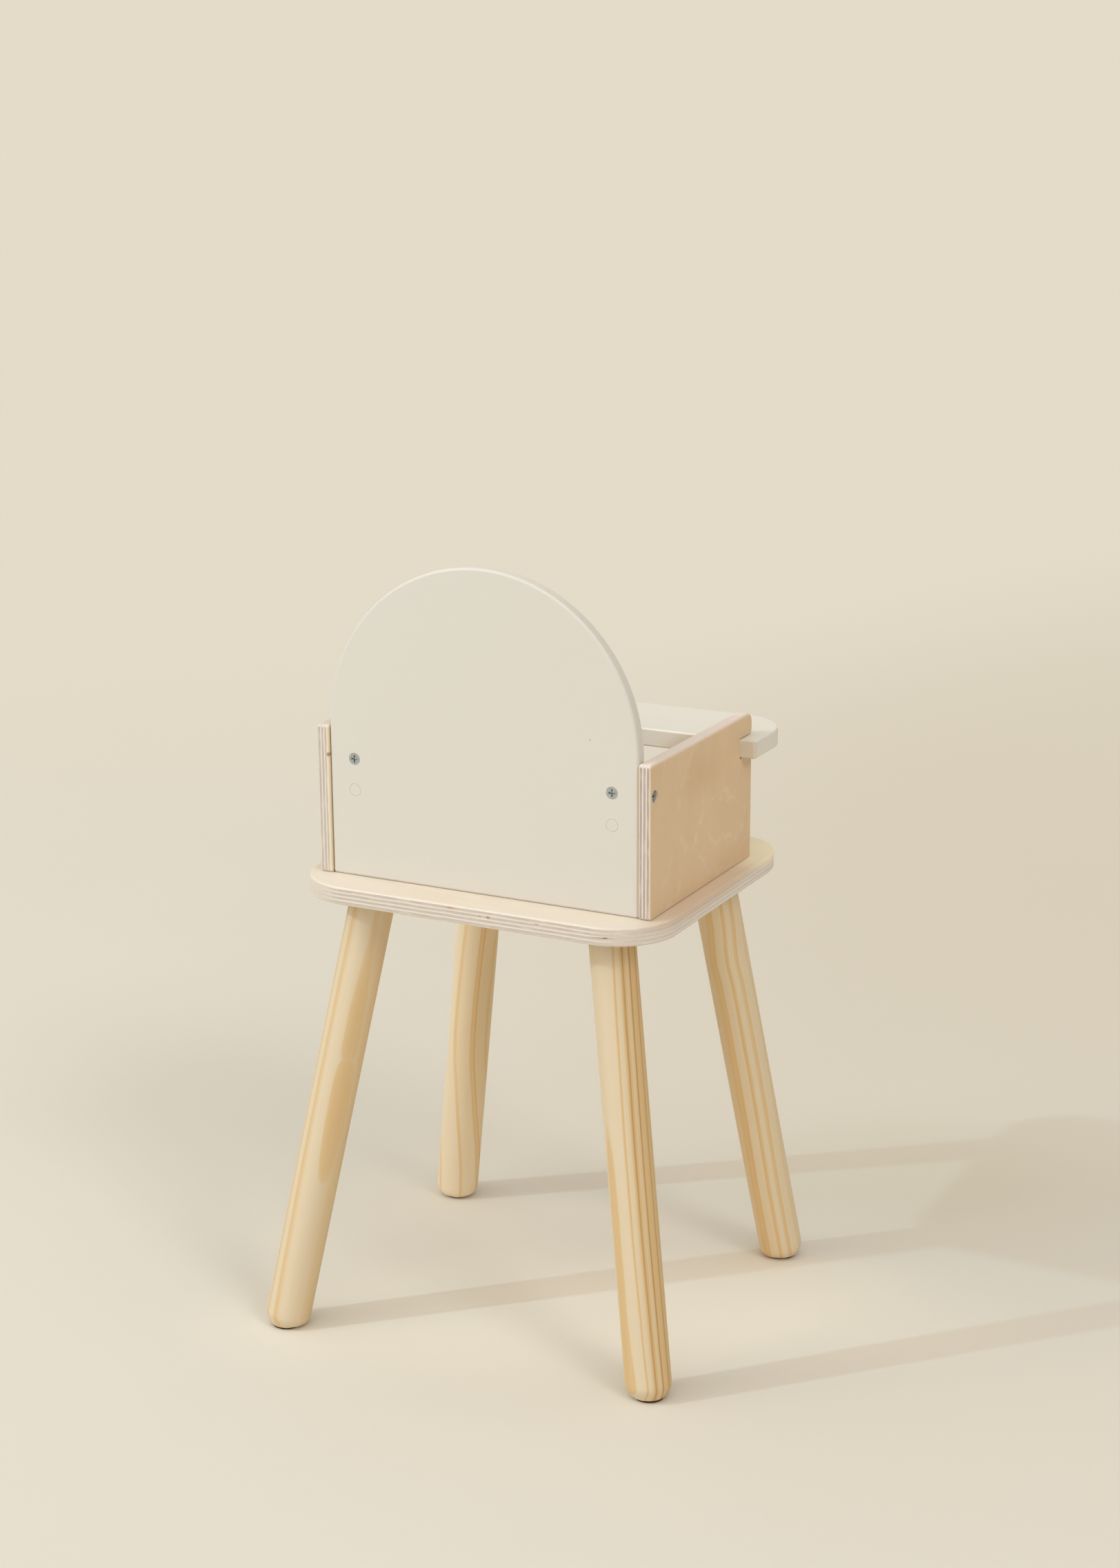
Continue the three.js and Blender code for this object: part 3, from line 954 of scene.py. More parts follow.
# Sizes and places in mm that several pieces share
SEAT_TOP = 310.0
SEAT_THICKNESS = 12.0
PANEL_OUTER = 119.0
PANEL_THICKNESS = 8.5
BACK_REAR = 86.0
BACK_THICKNESS = 9.0
BACK_MIDDLE = BACK_REAR - BACK_THICKNESS / 2
BOLT_HEIGHT = 388.5
PALE_LOOP = colour(244, 227, 200)


class Side(Enum):
    """The chair's own left and right, by the sign of X."""

    LEFT = 1
    RIGHT = -1

    def __str__(self) -> str:
        """The word that the nodes' names have."""
        return self.name.lower()


class End(Enum):
    """The chair's rear and front, by the sign of Y."""

    REAR = 1
    FRONT = -1

    def __str__(self) -> str:
        """The word that the nodes' names have."""
        return self.name.lower()


@dataclass
class Seat:
    """The seat board, in mm, with the sunk holes for the screws under the panels and the back."""

    width: float = 260.0
    depth: float = 225.0
    thickness: float = SEAT_THICKNESS
    top: float = SEAT_TOP
    corner: float = 40.0
    corner_steps: int = 28
    edge_round: float = 1.5
    panel_screw_x: float = PANEL_OUTER - PANEL_THICKNESS / 2
    panel_screw_ys: tuple[float, ...] = (62.5, -41.5)
    back_screw_x: float = 60.0
    back_screw_y: float = BACK_MIDDLE
    screw_hole: Pairs = ((3.8, 0.0), (2.05, 2.6), (2.05, 9.0))
    marks: tuple[Mark, ...] = (
        Mark((8.3, 112.0, 308.0), (2.3, 3.0, 0.7), 0.7, colour(196, 150, 104)),
        Mark((-12.9, 112.0, 305.4), (1.1, 3.0, 0.35), 0.6),
        Mark((-18.8, 112.0, 305.5), (1.3, 3.0, 0.7), 0.8),
        Mark((-52.9, 112.0, 306.0), (1.6, 3.0, 0.4), 0.5),
        Mark((-97.5, 111.0, 303.5), (7.0, 4.0, 0.3), 0.7),
        Mark((-99.6, 111.0, 303.6), (1.6, 4.0, 0.5), 0.9),
        # Painted shade: a darker pinkish strip on the seat top beside the right panel, where the
        # panel's shadow falls.
        Mark((-128.0, 23.0, 310.0), (13.0, 79.0, 5.0), 0.53, colour(210, 176, 141)),
        # Painted light: a paler patch on the seat top at its front right corner.
        Mark((-122.0, -84.0, 310.0), (26.0, 34.0, 5.0), 0.9, colour(252, 240, 208)),
        Mark((120.0, 106.0, 310.0), (30.0, 60.0, 5.0), 0.15, colour(246, 236, 220)),
    )

    def build(self) -> bpy.types.Object:
        """Makes, dresses and fixes the seat board.

        Returns:
            The board.
        """
        half = (self.width / 2, self.depth / 2)
        line = box_line((-half[0], -half[1]), half, (self.corner,) * 4, self.corner_steps)
        stand = Stand.level(self.top - self.thickness)
        places = [(s * self.panel_screw_x, y) for s in (-1, 1) for y in self.panel_screw_ys]
        places += [(s * self.back_screw_x, self.back_screw_y) for s in (-1, 1)]
        holes = tuple(Hole(place, Face.LOW, self.screw_hole) for place in places)
        board = Board(line, self.thickness, self.edge_round, stand, holes).build("seat")
        finish = BirchPly(
            "seat_birch", plies=9, thickness=self.thickness * MM, along=(1, 0, 0),
            marks=self.marks, long_ply=colour(240, 231, 218), long_streak=colour(219, 208, 195),
            end_ply=colour(210, 198, 188), end_streak=colour(185, 171, 160),
        )
        board.data.materials.append(finish.material())
        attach(board, "chair")
        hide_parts("seat_board")
        return board


@dataclass
class SidePanels:
    """The two side panels, in mm, each with a tray slot and a stepped hole for its bolt."""

    outer: float = PANEL_OUTER
    thickness: float = PANEL_THICKNESS
    front: float = -66.5
    rear: float = 87.5
    low: float = SEAT_TOP
    high: float = 409.0
    front_top_corner: float = 7.0
    corner: float = 2.0
    edge_round: float = 1.2
    slot_end: float = -47.7
    slot_low: float = 381.7
    slot_high: float = 394.3
    slot_mouth: float = 3.0
    corner_steps: int = 8
    front_top_steps: int = 14
    mouth_steps: int = 10
    slot_steps: int = 6
    bolt_y: float = BACK_MIDDLE
    bolt_z: float = BOLT_HEIGHT
    bolt_hole: Pairs = ((4.1, 0.0), (4.1, 4.0), (2.3, 4.0), (2.3, 8.0))
    end_plies: dict[Side, Colour] = field(default_factory=lambda: {
        Side.LEFT: colour(203, 191, 182), Side.RIGHT: colour(188, 172, 164),
    })
    marks: dict[Side, tuple[Mark, ...]] = field(default_factory=lambda: {
        Side.LEFT: (
            # Painted light: a pale strip down the left panel's inner rear edge, in the shaded
            # groove beside the back.
            Mark((110.5, 87.0, 359.0), (1.6, 2.6, 90.0), 0.65, colour(248, 236, 208), 0.3),
            Mark((111.0, 87.0, 389.6), (0.9, 3.0, 1.3), 0.8),
        ),
        Side.RIGHT: (
            Mark((-119.0, -22.0, 340.0), (9.0, 44.0, 27.0), 0.26, PALE_LOOP, 0.06, 0.92),
            Mark((-119.0, -28.0, 346.0), (9.0, 30.0, 17.0), 0.24, PALE_LOOP, 0.08, 0.86),
            Mark((-119.0, 60.0, 322.0), (9.0, 16.0, 24.0), 0.26, PALE_LOOP, 0.08, 0.86),
            Mark((-119.0, 28.0, 366.0), (9.0, 18.0, 30.0), 0.2, PALE_LOOP, 0.1, 0.82),
            Mark((-119.0, 10.0, 385.0), (3.0, 30.0, 10.0), 0.3, colour(212, 180, 138), 0.8),
            Mark((-119.0, -40.0, 318.0), (3.0, 30.0, 8.0), 0.3, colour(212, 178, 138), 0.8),
            # Painted shade: a dark dot at the slot's low inner corner, for the shaded gap under the
            # tray.
            Mark((-119.0, -48.8, 381.0), (3.0, 0.7, 0.7), 0.7),
            # Painted light: a paler band along the right panel's top edge.
            Mark((-114.75, 10.0, 409.6), (14.0, 150.0, 2.2), 0.55, colour(248, 232, 222)),
        ),
    })

    def build(self) -> list[bpy.types.Object]:
        """Makes, dresses and fixes both panels.

        Returns:
            The left and the right panel.
        """
        return [self._panel(side) for side in Side]

    def _line(self) -> Line:
        """The panel's outline in (y, z): a rectangle with a slot let in from its front edge. The
        slot's mouth is rounded above it, and its two inner corners are sharp.

        Returns:
            The closed line.
        """
        y0, y1, z0, z1 = self.front, self.rear, self.low, self.high
        r, f, m, s = self.corner, self.front_top_corner, self.slot_mouth, self.edge_round
        line = Line()
        line.arc((y0 + r, z0 + r), r, 180, 270, self.corner_steps)
        line.arc((y1 - r, z0 + r), r, 270, 360, self.corner_steps)
        line.arc((y1 - r, z1 - r), r, 0, 90, self.corner_steps)
        line.arc((y0 + f, z1 - f), f, 90, 180, self.front_top_steps)
        line.arc((y0 + m, self.slot_high + m), m, 180, 270, self.mouth_steps)
        line.arc((self.slot_end, self.slot_high), 0.0, 90, 0, self.slot_steps)
        line.arc((self.slot_end, self.slot_low), 0.0, 0, -90, self.slot_steps)
        line.arc((y0 + s, self.slot_low - s), s, 90, 180, self.slot_steps)
        return line

    def _panel(self, side: Side) -> bpy.types.Object:
        """One panel, with the stepped hole for its connector bolt in the outer face.

        Args:
            side: Which panel.

        Returns:
            The panel.
        """
        left = side is Side.LEFT
        base = self.outer - self.thickness if left else -self.outer
        outside = Face.HIGH if left else Face.LOW
        bore = Hole((self.bolt_y, self.bolt_z), outside, self.bolt_hole)
        board = Board(
            self._line(), self.thickness, self.edge_round, Stand.facing_left(base), (bore,),
            grain=(0.0, 1.0),
        )
        panel = board.build(f"panel_{side}")
        finish = BirchPly(
            f"panel_birch_{side}", plies=7, thickness=self.thickness * MM, along=(0, 0, 1),
            face=colour(228, 200, 163), figure=colour(216, 186, 146), pale=colour(240, 220, 190),
            long_ply=colour(238, 229, 218), end_ply=self.end_plies[side], marks=self.marks[side],
        )
        panel.data.materials.append(finish.material())
        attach(panel, "chair")
        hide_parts(f"side_panel_{side}")
        return panel


@dataclass
class Back:
    """The painted back panel with its plugs, in mm."""

    half_width: float = 110.0
    low: float = SEAT_TOP
    spring: float = 410.0
    rear: float = BACK_REAR
    thickness: float = BACK_THICKNESS
    edge_round: float = 1.8
    corner_steps: int = 6
    arch_steps: int = 160
    dowel_x: float = 92.0
    dowel_z: float = BOLT_HEIGHT
    dowel_hole: Pairs = ((4.02, 0.0), (4.02, 7.8))
    plug_z: float = 368.0
    plug_hole: Pairs = ((4.1, 0.0), (4.1, 6.3))
    plug_radius: float = 4.0
    plug_depth: float = 6.0
    plug_round: float = 0.15
    plug_steps: int = 48
    marks: tuple[Mark, ...] = (
        Mark((94.5, 86.0, 468.3), (0.4, 2.0, 0.5), 0.45),
        Mark((-77.0, 86.0, 420.3), (0.5, 2.0, 0.6), 0.4),
    )

    def build(self) -> list[bpy.types.Object]:
        """Makes, dresses and fixes the back panel and its two plugs.

        Returns:
            The pieces.
        """
        w, r = self.half_width, self.edge_round
        line = Line()
        line.arc((-w + r, self.low + r), r, 180, 270, self.corner_steps)
        line.arc((w - r, self.low + r), r, 270, 360, self.corner_steps)
        line.arc((0.0, self.spring), w, 0, 180, self.arch_steps)
        stand = Stand.facing_rear(self.rear - self.thickness)
        holes = tuple(
            Hole((sign * self.dowel_x, height), Face.HIGH, profile)
            for sign in (-1, 1)
            for height, profile in ((self.dowel_z, self.dowel_hole), (self.plug_z, self.plug_hole))
        )
        board = Board(line, self.thickness, r, stand, holes).build("back")
        paint = WhitePaint("back_paint", self.thickness * MM, marks=self.marks).material()
        board.data.materials.append(paint)
        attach(board, "chair")
        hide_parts("back_panel")
        return [board, *(self._plug(side, paint) for side in Side)]

    def _plug(self, side: Side, paint: bpy.types.Material) -> bpy.types.Object:
        """A plug: a disc whose rim is slightly rounded, painted over with the panel.

        Args:
            side: Which plug.
            paint: The panel's paint.

        Returns:
            The plug.
        """
        middle = (-side.value * self.dowel_x, self.plug_z)
        line = disc_line(middle, self.plug_radius, self.plug_steps)
        stand = Stand.facing_rear(self.rear - self.plug_depth)
        plug = Board(line, self.plug_depth, self.plug_round, stand).build(f"plug_{side}")
        plug.data.materials.append(paint)
        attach(plug, "chair")
        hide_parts(f"back_plug_{side}")
        return plug


@dataclass
class Tray:
    """The sliding tray, in mm."""

    half_width: float = 129.5
    rear: float = -48.0
    depth: float = 65.0
    top: float = 394.0
    thickness: float = 12.0
    front_corner: float = 35.0
    rear_corner: float = 2.0
    corner_steps: int = 24
    edge_round: float = 1.2
    marks: tuple[Mark, ...] = (
        # Painted light: the tray's rear face between the panels made paler, where the back panel
        # shades it.
        Mark((-90.0, -48.0, 388.0), (60.0, 2.5, 9.0), 0.9, colour(253, 247, 234), 0.3),
        # Painted shade: the tray's rear face outside the right panel made darker, where the panel
        # shades it.
        Mark((-127.0, -48.0, 388.0), (9.0, 2.5, 12.0), 0.92, colour(218, 206, 190), 0.3),
    )

    def build(self) -> bpy.types.Object:
        """Makes, dresses and fixes the tray.

        Returns:
            The tray.
        """
        low = (-self.half_width, self.rear - self.depth)
        radii = (self.front_corner,) * 2 + (self.rear_corner,) * 2
        line = box_line(low, (self.half_width, self.rear), radii, self.corner_steps)
        stand = Stand.level(self.top - self.thickness)
        board = Board(line, self.thickness, self.edge_round, stand).build("tray_board")
        # The tray's coat is lighter than the back's coat of the same paint: painted light on its
        # level top.
        finish = WhitePaint(
            "tray_paint", self.thickness * MM, coat=colour(231, 227, 217),
            thin=colour(222, 211, 197), bare=0.15, marks=self.marks,
        )
        board.data.materials.append(finish.material())
        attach(board, "tray")
        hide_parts("tray")
        return board


@dataclass(frozen=True)
class LegWood:
    """How a leg was cut from its plank. The ring turn is the way through the rings, in degrees
    from the side that faces the rear right. Rings and sides are levels of brown, 0 pale, 0.5 tan
    and 1 brown, by mm through the rings and round them. The sides' tan on the rear left leg's
    shaded half is partly the wood's tone and partly painted shade. The bend shifts all rings and
    the swell only the outermost, each by a share of the way down the leg and mm."""

    ring_turn: float
    rings: Pairs
    bend: Pairs
    swell: Pairs = ((0.0, 0.0), (1.0, 0.0))
    sides: Pairs = ()
    # Painted light: how much paler the leg's wood is drawn.
    lift: float = 1.0


@dataclass
class Leg:
    """One round leg with its felt pad, in mm. Over its height the axis leans outwards to the side
    by out and to its own end by along. The end profile is radius and height above the leg's end,
    and trim_radius is where that end still reaches down to the pad's top. The ring turn counts
    from rear_right, the level way towards the photograph's camera."""

    end: End
    side: Side
    out: float
    along: float
    wood: LegWood
    radius: float = 15.0
    top_x: float = 86.0
    top_y: float = 75.0
    top_z: float = SEAT_TOP - SEAT_THICKNESS
    end_profile: Pairs = (
        (0.0, 0.0), (9.4, 0.0), (10.25, 0.18), (10.95, 0.75), (11.5, 1.6), (12.6, 3.3),
        (13.6, 4.9), (14.25, 6.1), (14.68, 7.3), (14.92, 8.6), (15.0, 10.2),
    )
    trim_radius: float = 11.0
    rear_right: Triple = (-0.465, 0.885, 0.0)
    sides: int = 96
    rows: int = 160
    pad: float = 2.0
    pad_radius: float = 9.5
    pad_round: float = 0.5
    pad_steps: int = 72

    @property
    def name(self) -> str:
        """The leg's place on the chair."""
        return f"{self.end}_{self.side}"

    def _axis(self) -> tuple[np.ndarray, np.ndarray]:
        """Where the leg meets the seat board, and the way down it.

        Returns:
            The point in mm, and the unit direction.
        """
        side, end = self.side.value, self.end.value
        top = np.array([side * self.top_x, end * self.top_y, self.top_z])
        run = np.array([side * self.out, end * self.along, -self.top_z])
        return top, run / np.linalg.norm(run)

    def build(self) -> list[bpy.types.Object]:
        """Makes, dresses and fixes the leg and its pad.

        Returns:
            The leg and the pad.
        """
        leg, pad = self._leg(), self._pad()
        wood = self.wood
        pine = Pine(f"pine_{self.name}", wood.rings, wood.sides, wood.lift)
        leg.data.materials.append(pine.material())
        pad.data.materials.append(Felt(f"felt_{self.name}").material())
        for piece, node, slot in ((leg, "leg", "pine"), (pad, "felt_pad", "felt")):
            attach(piece, "chair")
            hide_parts(f"{node}_{self.name}")
        return [leg, pad]

    def _foot(self) -> np.ndarray:
        """Where the axis comes down to the pad's top, in mm."""
        top, down = self._axis()
        return top + down * (self.top_z - self.pad) / -down[2]

    def _end(self) -> tuple[np.ndarray, np.ndarray]:
        """The end's profile and its outward directions. The first two points make the flat end,
        and the last one meets the straight wall.

        Returns:
            Radius and height above the end, and the directions in the same two parts.
        """
        knots = np.array(self.end_profile)
        slope = np.gradient(knots, axis=0)
        slope[:2] = (1.0, 0.0)
        tilt = np.stack([slope[:, 1], -slope[:, 0]], 1) / np.linalg.norm(slope, axis=1)[:, None]
        tilt[-1] = (1.0, 0.0)
        return knots, tilt

    def _leg(self) -> bpy.types.Object:
        """The leg: a profile of radius against height above its end, turned about its axis. The
        long wall runs on to the seat board's underside, and what would be lower than the pad is
        lifted to the pad's top, which makes the level foot.

        Returns:
            The leg.
        """
        top, down = self._axis()
        trim = self.trim_radius * math.hypot(down[0], down[1]) / -down[2]
        tip = self._foot() + down * trim
        right = np.cross(self.rear_right, down)
        right /= np.linalg.norm(right)
        toward = np.cross(down, right)
        turn = np.linspace(0, 2 * np.pi, self.sides + 1)
        turn[-1] = 0.0
        around = np.cos(turn)[:, None] * toward + np.sin(turn)[:, None] * right
        knots, tilt = self._end()
        rim = tip + knots[:, None, :1] * around[None] - knots[:, 1, None, None] * down
        rim_way = tilt[:, None, :1] * around[None] - tilt[:, 1, None, None] * down
        start = rim[-1]
        reach = (self.top_z - start[:, 2]) / -down[2]
        share = np.linspace(0, 1, self.rows + 1)[:, None, None]
        wall = start[None] - share * reach[None, :, None] * down
        wall_way = np.broadcast_to(around[None], wall.shape)
        points = np.concatenate([rim, wall[1:], np.broadcast_to(top, (1, *rim.shape[1:]))])
        ways = np.concatenate([rim_way, wall_way[1:]])
        low = points[..., 2] < self.pad
        points[..., 2] = np.maximum(points[..., 2], self.pad)
        skin = Skin()
        grain = self._grain(points, top, down, toward, right)
        ways[low[:-1]] = (0.0, 0.0, -1.0)
        skin.grid(points[:-1] * MM, ways, grain[:-1])
        skin.grid(points[-2:] * MM, np.array((0.0, 0.0, 1.0)), grain[-2:])
        return skin.mesh(f"leg_of_{self.name}", "grain")

    def _grain(
        self, points: np.ndarray, top: np.ndarray, down: np.ndarray, toward: np.ndarray,
        right: np.ndarray,
    ) -> np.ndarray:
        """Wood coordinates: how far a point is through the rings, round them and down the leg.
        The first is the distance q from the leg's axis along the ring way, plus the bend, plus
        the swell times (q / radius) to the sixth power, so that the swell acts only where the
        leg's side lies along the rings.

        Args:
            points: Points, in mm.
            top: The leg's top.
            down: The way down the leg.
            toward: The way towards the rear right.
            right: The way across that.

        Returns:
            Wood coordinates, in metres.
        """
        away = points - top
        run = away @ down
        turn = math.radians(self.wood.ring_turn)
        ring_way = math.cos(turn) * toward + math.sin(turn) * right
        side_way = -math.sin(turn) * toward + math.cos(turn) * right
        share = run / (self.top_z / -down[2])
        bend, swell = (np.interp(share, *np.array(p).T) for p in (self.wood.bend, self.wood.swell))
        through = away @ ring_way
        outer = np.clip(through / self.radius, 0.0, 1.0) ** 6
        return MM * np.stack([through + bend + swell * outer, away @ side_way, run], -1)

    def _pad(self) -> bpy.types.Object:
        """The felt pad: a disc with a soft rim, level on the floor under the foot's middle.

        Returns:
            The pad.
        """
        x, y, _ = self._foot()
        line = disc_line((x, y), self.pad_radius, self.pad_steps)
        return Board(line, self.pad, self.pad_round, Stand.level(0.0)).build(f"pad_of_{self.name}")


@dataclass
class Hardware:
    """The bolts, dowels, inserts and screws, which keep their solids and are found by a word in
    their node's name."""

    finish: Zinc = Zinc()
    words: tuple[str, ...] = ("bolt", "dowel", "insert", "screw")

    def dress(self) -> int:
        """Gives every metal node the zinc finish.

        Returns:
            How many nodes were dressed.
        """
        material = self.finish.material()
        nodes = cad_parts.items()
        metal = [node for name, node in nodes if any(word in name for word in self.words)]
        for node in metal:
            node.data.materials.clear()
            node.data.materials.append(material)
        return len(metal)


# Each leg's grain, as the photograph shows it
LEG_WOODS = {
    (End.REAR, Side.RIGHT): LegWood(
        -57.0,
        ((-13.6, 0.2), (-13.2, 0.6), (-12.4, 0.5), (-12.0, 0.2), (-9.8, 0.3), (-9.4, 0.65),
         (-8.4, 0.6), (-8.0, 0.46), (-6.5, 0.54), (-6.0, 0.74), (-5.1, 0.82), (-4.7, 0.5),
         (-0.8, 0.48), (-0.4, 0.76), (0.2, 0.92), (0.9, 0.34), (2.9, 0.2), (3.5, 0.5),
         (4.3, 0.54), (4.8, 0.84), (5.3, 0.8), (5.9, 0.52), (6.7, 0.36), (7.2, 0.1),
         (9.4, 0.04), (9.9, 0.56), (10.4, 0.46), (11.0, 0.0), (14.42, 0.0), (14.55, 0.42),
         (15.6, 0.46)),
        ((0.0, 2.2), (0.1, 1.4), (0.2, 0.9), (0.3, 0.7), (0.4, 0.25), (0.5, 0.0), (0.65, 0.0),
         (0.75, 0.35), (0.9, 0.85), (1.0, 1.6)),
        ((0.0, -2.8), (0.1, -2.0), (0.2, -1.5), (0.3, -1.3), (0.38, -0.9), (0.43, -0.5),
         (0.5, 0.0), (0.6, 0.15), (0.7, -0.2), (0.8, -0.45), (0.87, -0.45), (0.93, -0.5),
         (1.0, -0.8)),
    ),
    (End.REAR, Side.LEFT): LegWood(
        20.0,
        ((-14.0, 0.4), (-13.0, 0.0), (-9.2, 0.0), (-8.4, 0.5), (-7.6, 0.4), (-7.0, 0.0),
         (-2.2, 0.0), (-1.4, 0.5), (-0.4, 0.5), (0.4, 0.0), (4.9, 0.0), (5.9, 0.42), (7.4, 0.36),
         (9.2, 0.06), (10.0, 0.0), (13.9, 0.03), (14.05, 0.38), (16.0, 0.46)),
        ((0.0, -0.5), (0.2, 0.3), (0.42, 0.7), (0.55, 0.5), (0.7, 0.0), (0.85, -0.9), (1.0, -1.9)),
        ((0.0, -0.6), (0.13, -0.9), (0.2, -0.85), (0.27, -0.6), (0.34, -0.65), (0.355, -0.9),
         (0.369, -1.5), (0.382, -0.7), (0.41, -0.1), (0.46, 0.15), (0.525, 0.05),
         (0.59, -0.45), (0.62, -0.85), (0.65, -1.25), (0.665, -1.7), (1.0, 0.0)),
        # Partly painted shade: the tan on this leg's shaded half.
        ((-3.0, 0.0), (2.0, 0.14), (8.0, 0.3), (15.0, 0.34)),
    ),
    (End.FRONT, Side.LEFT): LegWood(
        90.0,
        ((-26.4, 0.0), (-25.6, 0.4), (-24.6, 0.3), (-24.0, 0.0), (-11.8, 0.0), (-11.0, 0.4),
         (-9.6, 0.36), (-8.6, 0.08), (0.2, 0.1), (0.8, 0.5), (2.2, 0.4), (3.3, 0.5),
         (3.8, 0.68), (4.4, 0.24), (10.9, 0.26), (11.5, 0.5), (12.6, 0.4), (13.2, 0.24),
         (20.0, 0.2), (20.6, 0.5), (21.6, 0.4), (22.2, 0.1)),
        ((0.0, -4.8), (0.22, -2.2), (0.29, -1.1), (0.37, -0.4), (0.44, 0.0), (0.52, -0.1),
         (0.56, -0.5), (0.6, -1.2), (0.67, -3.7), (0.75, -6.4), (0.83, -9.4), (0.91, -11.8),
         (1.0, -13.2)),
        # Painted light: the front left leg's wood drawn paler.
        lift=1.14,
    ),
    (End.FRONT, Side.RIGHT): LegWood(
        90.0,
        ((-15.0, 0.26), (-11.6, 0.3), (-10.2, 0.5), (-8.4, 0.46), (-6.8, 0.54), (-6.0, 0.14),
         (-1.0, 0.12), (-0.4, 0.58), (0.4, 0.48), (1.5, 0.4), (2.1, 0.06), (5.0, 0.04),
         (5.6, 0.3), (7.4, 0.46), (8.0, 0.5), (8.5, 0.06), (13.0, 0.1), (13.8, 0.3),
         (15.0, 0.14)),
        ((0.0, -2.2), (0.05, -1.8), (0.14, -0.9), (0.185, 0.4), (0.225, 1.2), (0.28, 0.2),
         (0.37, 0.0), (0.5, 0.0), (0.62, 0.4), (0.71, 1.1), (0.8, 1.5), (1.0, 1.4)),
        # Painted light: the front right leg's wood drawn a little paler.
        lift=1.03,
    ),
}
# How far each leg's axis leans over its height, in mm: outwards to the side, and to its own end
LEG_LEANS = {
    (End.REAR, Side.LEFT): (46.0, 53.0),
    (End.REAR, Side.RIGHT): (45.0, 36.0),
    (End.FRONT, Side.LEFT): (49.0, 37.0),
    (End.FRONT, Side.RIGHT): (38.0, 48.0),
}


@dataclass(frozen=True)
class Sun:
    """A broad parallel lamp: the way from the chair to it, its strength, how broad it looks in
    degrees, and its tint."""

    name: str
    way: Triple
    strength: float
    spread: float
    tint: Triple = (1.0, 1.0, 1.0)

    def hang(self) -> None:
        """Puts the lamp into the scene."""
        data = bpy.data.lights.new(self.name, "SUN")
        data.energy = self.strength
        data.angle = math.radians(self.spread)
        data.color = self.tint
        lamp = bpy.data.objects.new(self.name, data)
        lamp.matrix_world = Vector(self.way).to_track_quat("Z", "Y").to_matrix().to_4x4()
        bpy.context.scene.collection.objects.link(lamp)


